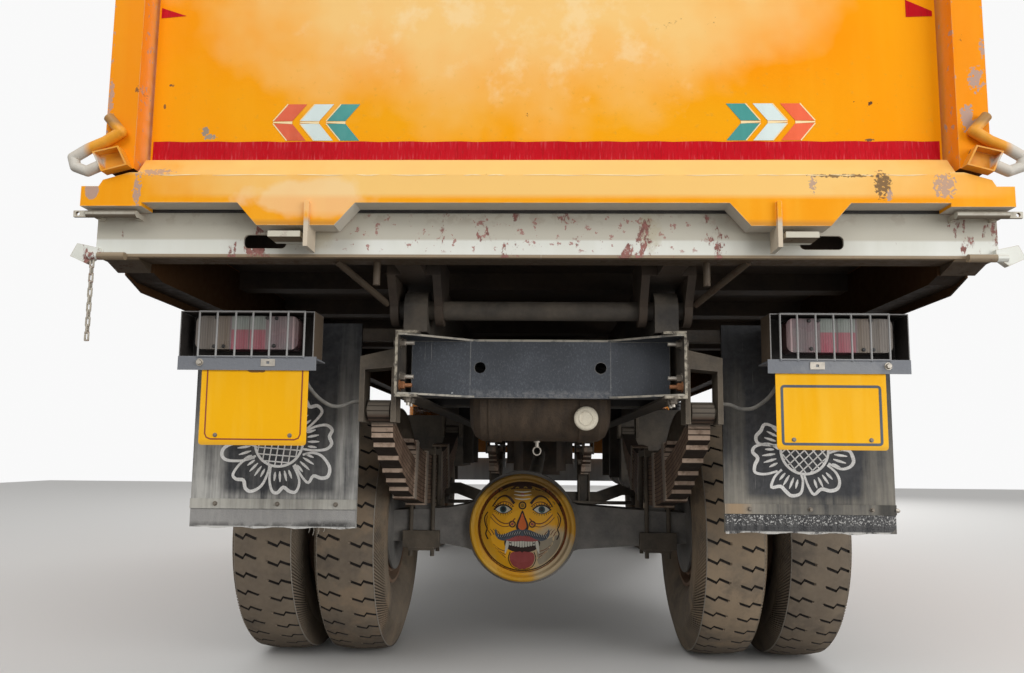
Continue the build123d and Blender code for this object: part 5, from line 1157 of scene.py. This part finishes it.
def flap_fittings():
    """Batten bolts, and the strip along each flap's foot with its worn lower edge."""
    bolts = Form()
    for side, places in ((-1, (0.667, 0.860, 1.066)), (1, (0.680, 0.875, 1.073))):
        for x in places:
            bolts.bolt((side * x, -2.6158, 0.668), (0, -1, 0), 0.0058, 0.006)
    bolts.piece("batten_bolts", "bolt_steel", "chassis", "flap_rubber")
    sheet, count = (-2.6128, -2.6102), 57
    quads = [(k, k + 1, count + k + 1, count + k) for k in range(count - 1)]
    for (side, hand), look, corner_wear in zip(SIDES, ("hem_pale", "hem_black"), (5, 16)):
        lower = []
        for k in range(count):
            x = 0.602 + 0.546 * k / 56
            corner = max(0.0, x - 1.110) ** 2 * corner_wear
            z = 0.590 + 0.0028 * math.sin(x * 47 + side) + 0.0015 * random.random() + corner
            lower.append((side * x, z))
        strip = Form()
        for y in sheet:
            strip.add([(x, y, z) for x, z in lower] + [(x, y, 0.6505) for x, _ in lower], quads)
        strip.add([(x, y, z) for y in sheet for x, z in lower], quads)
        strip.piece("flap_hem_" + hand, look, "chassis", "flap_rubber")
    threads = Form()
    for x, long in ((-0.752, 0.016), (-0.738, 0.024), (-0.722, 0.020), (-0.703, 0.013)):
        path = [(x, -2.6115, 0.596), (x + 0.002, -2.6130, 0.594 - long / 2),
            (x - 0.002, -2.6125, 0.592 - long)]
        threads.tube(path, 0.0008, 5)
    threads.tube([(1.147, -2.612, 0.667), (1.156, -2.612, 0.666), (1.160, -2.611, 0.664)],
        [0.008, 0.0075, 0.005], 8)
    threads.piece("flap_threads", "pale_steel", "chassis", "flap_rubber")


def rounded(x, z, radius, steps=5):
    """Rectangle outline with rounded corners from (low, high) limits."""
    points = []
    right, left = x[1] - radius, x[0] + radius
    low, high = z[0] + radius, z[1] - radius
    for cx, cz, start in ((right, low, -90), (right, high, 0), (left, high, 90), (left, low, 180)):
        for k in range(steps + 1):
            a = math.radians(start + 90 * k / steps)
            points.append((cx + radius * math.cos(a), cz + radius * math.sin(a)))
    return points


def blank_plates():
    """Hand-painted yellow plates with a border line and nothing on them."""
    face = -2.8385
    low, high = 0.857, 1.090
    for (side, hand), look in zip(SIDES, ("border_red", "border_blue")):
        left, right = x = tuple(sorted((side * 0.703, side * 1.030)))
        plate = Form().slab(rounded(x, (low, high), 0.010), face, face + 0.002)
        plate.piece("plate_" + hand, "plate_yellow", "chassis", "fittings")
        line = Painter(lambda x, z: face, 0.0005)
        if side < 0:
            # Open at the top, with cut corners below
            line.stroke([
                (left + 0.018, high), (left + 0.0185, low + 0.034), (left + 0.024, low + 0.023),
                (left + 0.036, low + 0.018), (right - 0.036, low + 0.0175), (right - 0.024, low + 0.022),
                (right - 0.0185, low + 0.034), (right - 0.018, high)], 0.0042)
        else:
            frame_line = rounded((left + 0.018, right - 0.019), (low + 0.017, high - 0.044), 0.007, 3)
            line.stroke(frame_line, 0.0080, True)
        line.piece("plate_border_" + hand, look, "chassis", "fittings")
        screws = Form()
        for sx in (left + 0.05, right - 0.05):
            screws.bolt((sx, face, low + 0.030), (0, -1, 0), 0.005, 0.003)
        screws.piece("plate_screws_" + hand, "bolt_steel", "chassis", "fittings")


def chain():
    """Round wire of the short chain at the sill's left end, every second link turned."""
    form = Form()
    half = [(-4.5, -3.2), (-3.2, -2.0), (3.2, -2.0), (4.5, -3.2), (4.5, -22.8), (3.2, -24.0), (-3.2, -24.0),
        (-4.5, -22.8)]
    for number in range(11):
        top = 1.369 - 0.0206 * number
        turned = number % 2
        loop = [(-1.252 + (0 if turned else a / 1000), -3.064 + (a / 1000 if turned else 0), top + b / 1000)
                for a, b in half]
        form.tube(loop, 0.0027, 8, True)
    form.piece("chain_links", "chain_steel", "bed", "sill_paint", smooth=True)


# Cab and side fittings
def cab_fittings():
    trim, chrome, glass, amber = Form(), Form(), Form(), Form()
    cab = ("cab_front", "cab_sides", "cab_roof")
    lamp_z, mirror_x = 1.080, 1.260
    # The windscreen leans: y at one height, how much y falls a metre upwards, and its normal
    screen_y, screen_z, fall, lift = 2.990, 1.820, 0.2857, Vector((0, 0.9615, 0.2747))
    wiper_x, wiper_z = 0.46, 2.06

    def on_front(x, z):
        return seat(cab, (x, 4, z), (0, -1, 0))

    for side, _ in SIDES:
        # Wiper: spindle, arm and blade over the windscreen
        foot = on_front(side * 0.10, 1.868)
        trim.turned([(-0.01, 0.016), (0.022, 0.014), (0.026, 0)], foot, (0, 1, 0.28), 14)
        end = Vector((side * wiper_x, screen_y - fall * (wiper_z - screen_z), wiper_z)) + lift * 0.006
        trim.tube([foot + lift * 0.018, foot.lerp(end, 0.5) + lift * 0.020, end], [0.007, 0.005, 0.004], 8)
        blade = [end + Vector((side * way * 0.24, -way * 0.030, way * 0.105)) - lift * 0.006
                 for way in (-1, 1)]
        trim.tube(blade, 0.005, 6)
        # Indicator lamp beside each headlamp, and the headlamp's rim
        face = on_front(side * 1.045, lamp_z)
        low, high = face.x - 0.038, face.x + 0.038
        amber.slab([(low, 1.030), (high, 1.030), (high, 1.130), (low, 1.130)], face.y - 0.01, face.y + 0.022)
        chrome.turned([(0, 0.094), (0, 0.112), (0.014, 0.110), (0.020, 0.101), (0.020, 0.094)],
                      (side * 0.860, on_front(side * 0.980, lamp_z).y - 0.001, lamp_z), (0, 1, 0), 40)
        # Mirror glass on the rear of each mirror head
        across = (side * mirror_x - 0.055, side * mirror_x + 0.055)
        glass.slab(rounded(across, (1.875, 2.175), 0.015, 4), 2.9335, 2.9360)
    # Bright bars of the grille
    for z in (1.00, 1.20, 1.40):
        chrome.box((-0.545, 0.545), (3.026, 3.038), (z - 0.011, z + 0.011))
    trim.piece("wipers", "black_trim", "chassis", "trim")
    chrome.piece("cab_bright_trim", "pale_steel", "chassis", "trim", bevel=0.002)
    glass.piece("mirror_glasses", "mirror_glass", "chassis", "glass")
    amber.piece("indicator_lamps", "amber_lens", "chassis", "lens", bevel=0.008)
    for side, hand in SIDES:
        # Door handle on its plate, and the lock below it
        door = Form()
        skin = seat(("door_" + hand,), (side * 2, 2.080, 1.740), (-side, 0, 0)).x
        plate = sorted((skin - side * 0.001, skin + side * 0.006))
        door.slab(rounded((2.015, 2.165), (1.712, 1.768), 0.020, 4), *plate, axis="x")
        bow = ((0.004, 2.030), (0.024, 2.040), (0.030, 2.090), (0.024, 2.140), (0.004, 2.150))
        door.tube(smooth([(skin + side * out, y, 1.742) for out, y in bow], 3), 0.008, 8)
        door.turned([(0, 0), (0, 0.012), (0.006, 0.011), (0.006, 0)], (skin, 2.090, 1.670), (side, 0, 0), 16)
        door.piece("door_handle_" + hand, "pale_steel", "cab_door_" + hand, "trim", smooth=True)


def wheel_nuts():
    """Ten nuts with their studs on each wheel, and the small bolts of its hub cap."""
    for end, y, rims, wheels in (("rear_", REAR_Y, "rear_rims_", "rear_wheels_"),
                                 ("front_", FRONT_Y, "front_rim_", "front_wheel_")):
        for side, hand in SIDES:
            nuts, out = Form(), (side, 0, 0)

            def on_rim(radius, a):
                start = (side * 1.5, y + radius * math.sin(a), AXLE_Z + radius * math.cos(a))
                return seat((rims + hand,), start, (-side, 0, 0))

            for a in turns(10):
                nuts.bolt(on_rim(0.135, a), out, 0.016, 0.022)
                nuts.turned([(0, 0.009), (0.034, 0.009), (0.036, 0)], on_rim(0.135, a), out, 10)
            for a in turns(8, 0.5):
                nuts.bolt(on_rim(0.044, a), out, 0.007, 0.006)
            nuts.piece("wheel_nuts_" + end + hand, "bolt_steel", wheels + hand, "rim")


def side_fittings():
    """Tank straps and cap, and the battery box's bars and clasps."""
    straps = Form()
    band = rounded((0.4985, 1.0055), (0.6365, 1.1235), 0.064, 6)
    inner = rounded((0.5015, 1.0025), (0.6395, 1.1205), 0.061, 6)
    n = len(band)
    faces = []
    for k in range(n):
        j = (k + 1) % n
        faces += [(k, j, n + j, n + k), (2 * n + k, 3 * n + k, 3 * n + j, 2 * n + j),
                  (k, 2 * n + k, 2 * n + j, j), (n + k, n + j, 3 * n + j, 3 * n + k)]
    for y in (-0.300, 0.180):
        levels = (y - 0.020, y + 0.020)
        straps.add([(x, level, z) for level in levels for ring in (band, inner) for x, z in ring], faces)
    straps.piece("tank_straps", "bolt_steel")
    top = seat(("fuel_tank",), (0.860, -0.380, 2.0), (0, 0, -1))
    cap = Form().turned([
        (-0.004, 0.048), (0.020, 0.048), (0.020, 0.044), (0.024, 0.056), (0.040, 0.056), (0.046, 0.050),
        (0.046, 0)], top, (0, 0, 1), 28)
    cap.box((top.x - 0.046, top.x + 0.046), (top.y - 0.006, top.y + 0.006), (top.z + 0.045, top.z + 0.054))
    cap.piece("tank_cap", "black_trim", "chassis", "trim")
    clasp = Form()
    for y in (-0.10, 0.23):
        side = seat(("battery_box",), (-2, y, 1.02), (1, 0, 0)).x
        clasp.box((side - 0.010, side + 0.001), (y - 0.018, y + 0.018), (0.975, 1.050))
        clasp.tube([(side - 0.012, y - 0.016, 1.000), (side - 0.020, y, 0.985),
            (side - 0.012, y + 0.016, 1.000)], 0.004, 6)
    side = seat(("battery_box",), (-2, 0.06, 0.9), (1, 0, 0)).x
    for z in (1.042, 0.830, 0.900, 0.970):
        clasp.box((side - 0.006, side + 0.001), (-0.195, 0.325), (z - 0.006, z + 0.006))
    clasp.piece("battery_box_fittings", "chassis_paint", bevel=0.002)


for build in (gate_marks, ward_face, flap_flowers, tyres, tail_fittings, flap_fittings, blank_plates, chain,
              cab_fittings, wheel_nuts, side_fittings):
    build()


# Stage, light and camera
def make_stage():
    f = Finish("floor_pale", 0.0, 0.8)
    path = f.node("ShaderNodeLightPath")
    seen = f.mix(path.outputs["Is Camera Ray"], (0.30, 0.29, 0.28), (0.72, 0.71, 0.69))
    f.link(seen, f.shader.inputs["Base Color"])
    obj = Form().box((-14, 14), (-12, 16), (-0.02, 0)).thing("floor", f.material)


def place_seen(obj, place, turn):
    obj.location = place
    obj.rotation_euler = turn
    bpy.context.scene.collection.objects.link(obj)


def lamp(name, place, look, size, power):
    data = bpy.data.lights.new(name, "AREA")
    data.size = size
    data.energy = power
    turn = (Vector(look) - Vector(place)).to_track_quat("-Z", "Y").to_euler()
    place_seen(bpy.data.objects.new(name, data), place, turn)


def make_world():
    """White to the camera and in gloss, half as bright for the light that it gives."""
    world = bpy.data.worlds.new("studio")
    world.use_nodes = True
    tree = world.node_tree
    back = tree.nodes["Background"]
    back.inputs["Color"].default_value = (1, 1, 1, 1)
    path = tree.nodes.new("ShaderNodeLightPath")
    sees = tree.nodes.new("ShaderNodeMath")
    sees.operation = "MAXIMUM"
    tree.links.new(path.outputs["Is Camera Ray"], sees.inputs[0])
    tree.links.new(path.outputs["Is Glossy Ray"], sees.inputs[1])
    level = tree.nodes.new("ShaderNodeMapRange")
    tree.links.new(sees.outputs["Value"], level.inputs["Value"])
    level.inputs["To Min"].default_value = 0.50
    level.inputs["To Max"].default_value = 0.95
    tree.links.new(level.outputs["Result"], back.inputs["Strength"])
    bpy.context.scene.world = world


def make_camera():
    """Camera fitted to the photograph: focal length and middle in pixels of its frame, turns in degrees."""
    wide, focal, sensor = 1024, 740, 36.0
    data = bpy.data.cameras.new("camera")
    data.sensor_width = sensor
    data.lens = focal / wide * sensor
    data.shift_x = (512 - 523.571) / wide
    data.shift_y = (376 - 336.5) / wide
    data.clip_end = 200
    obj = bpy.data.objects.new("camera", data)
    turns_taken = ((1.301, "Z"), (96.09, "X"), (0.502, "Z"))
    yaw, pitch, roll = (Matrix.Rotation(math.radians(degrees), 3, axis) for degrees, axis in turns_taken)
    place_seen(obj, (0.0, REAR_Y - 3.346, 0.835), (yaw @ pitch @ roll).to_euler())
    bpy.context.scene.camera = obj


make_stage()
make_world()
make_camera()
lamp("key", (-2.0, -9.0, 7.5), (0, -2.5, 1.4), 5.0, 390)
lamp("fill", (6.0, -7.5, 2.2), (0, -2.5, 0.9), 5.0, 340)
lamp("front_fill", (3.0, 10.0, 6.0), (0, 2.0, 1.2), 6.0, 500)
bpy.context.scene.view_settings.view_transform = "Standard"
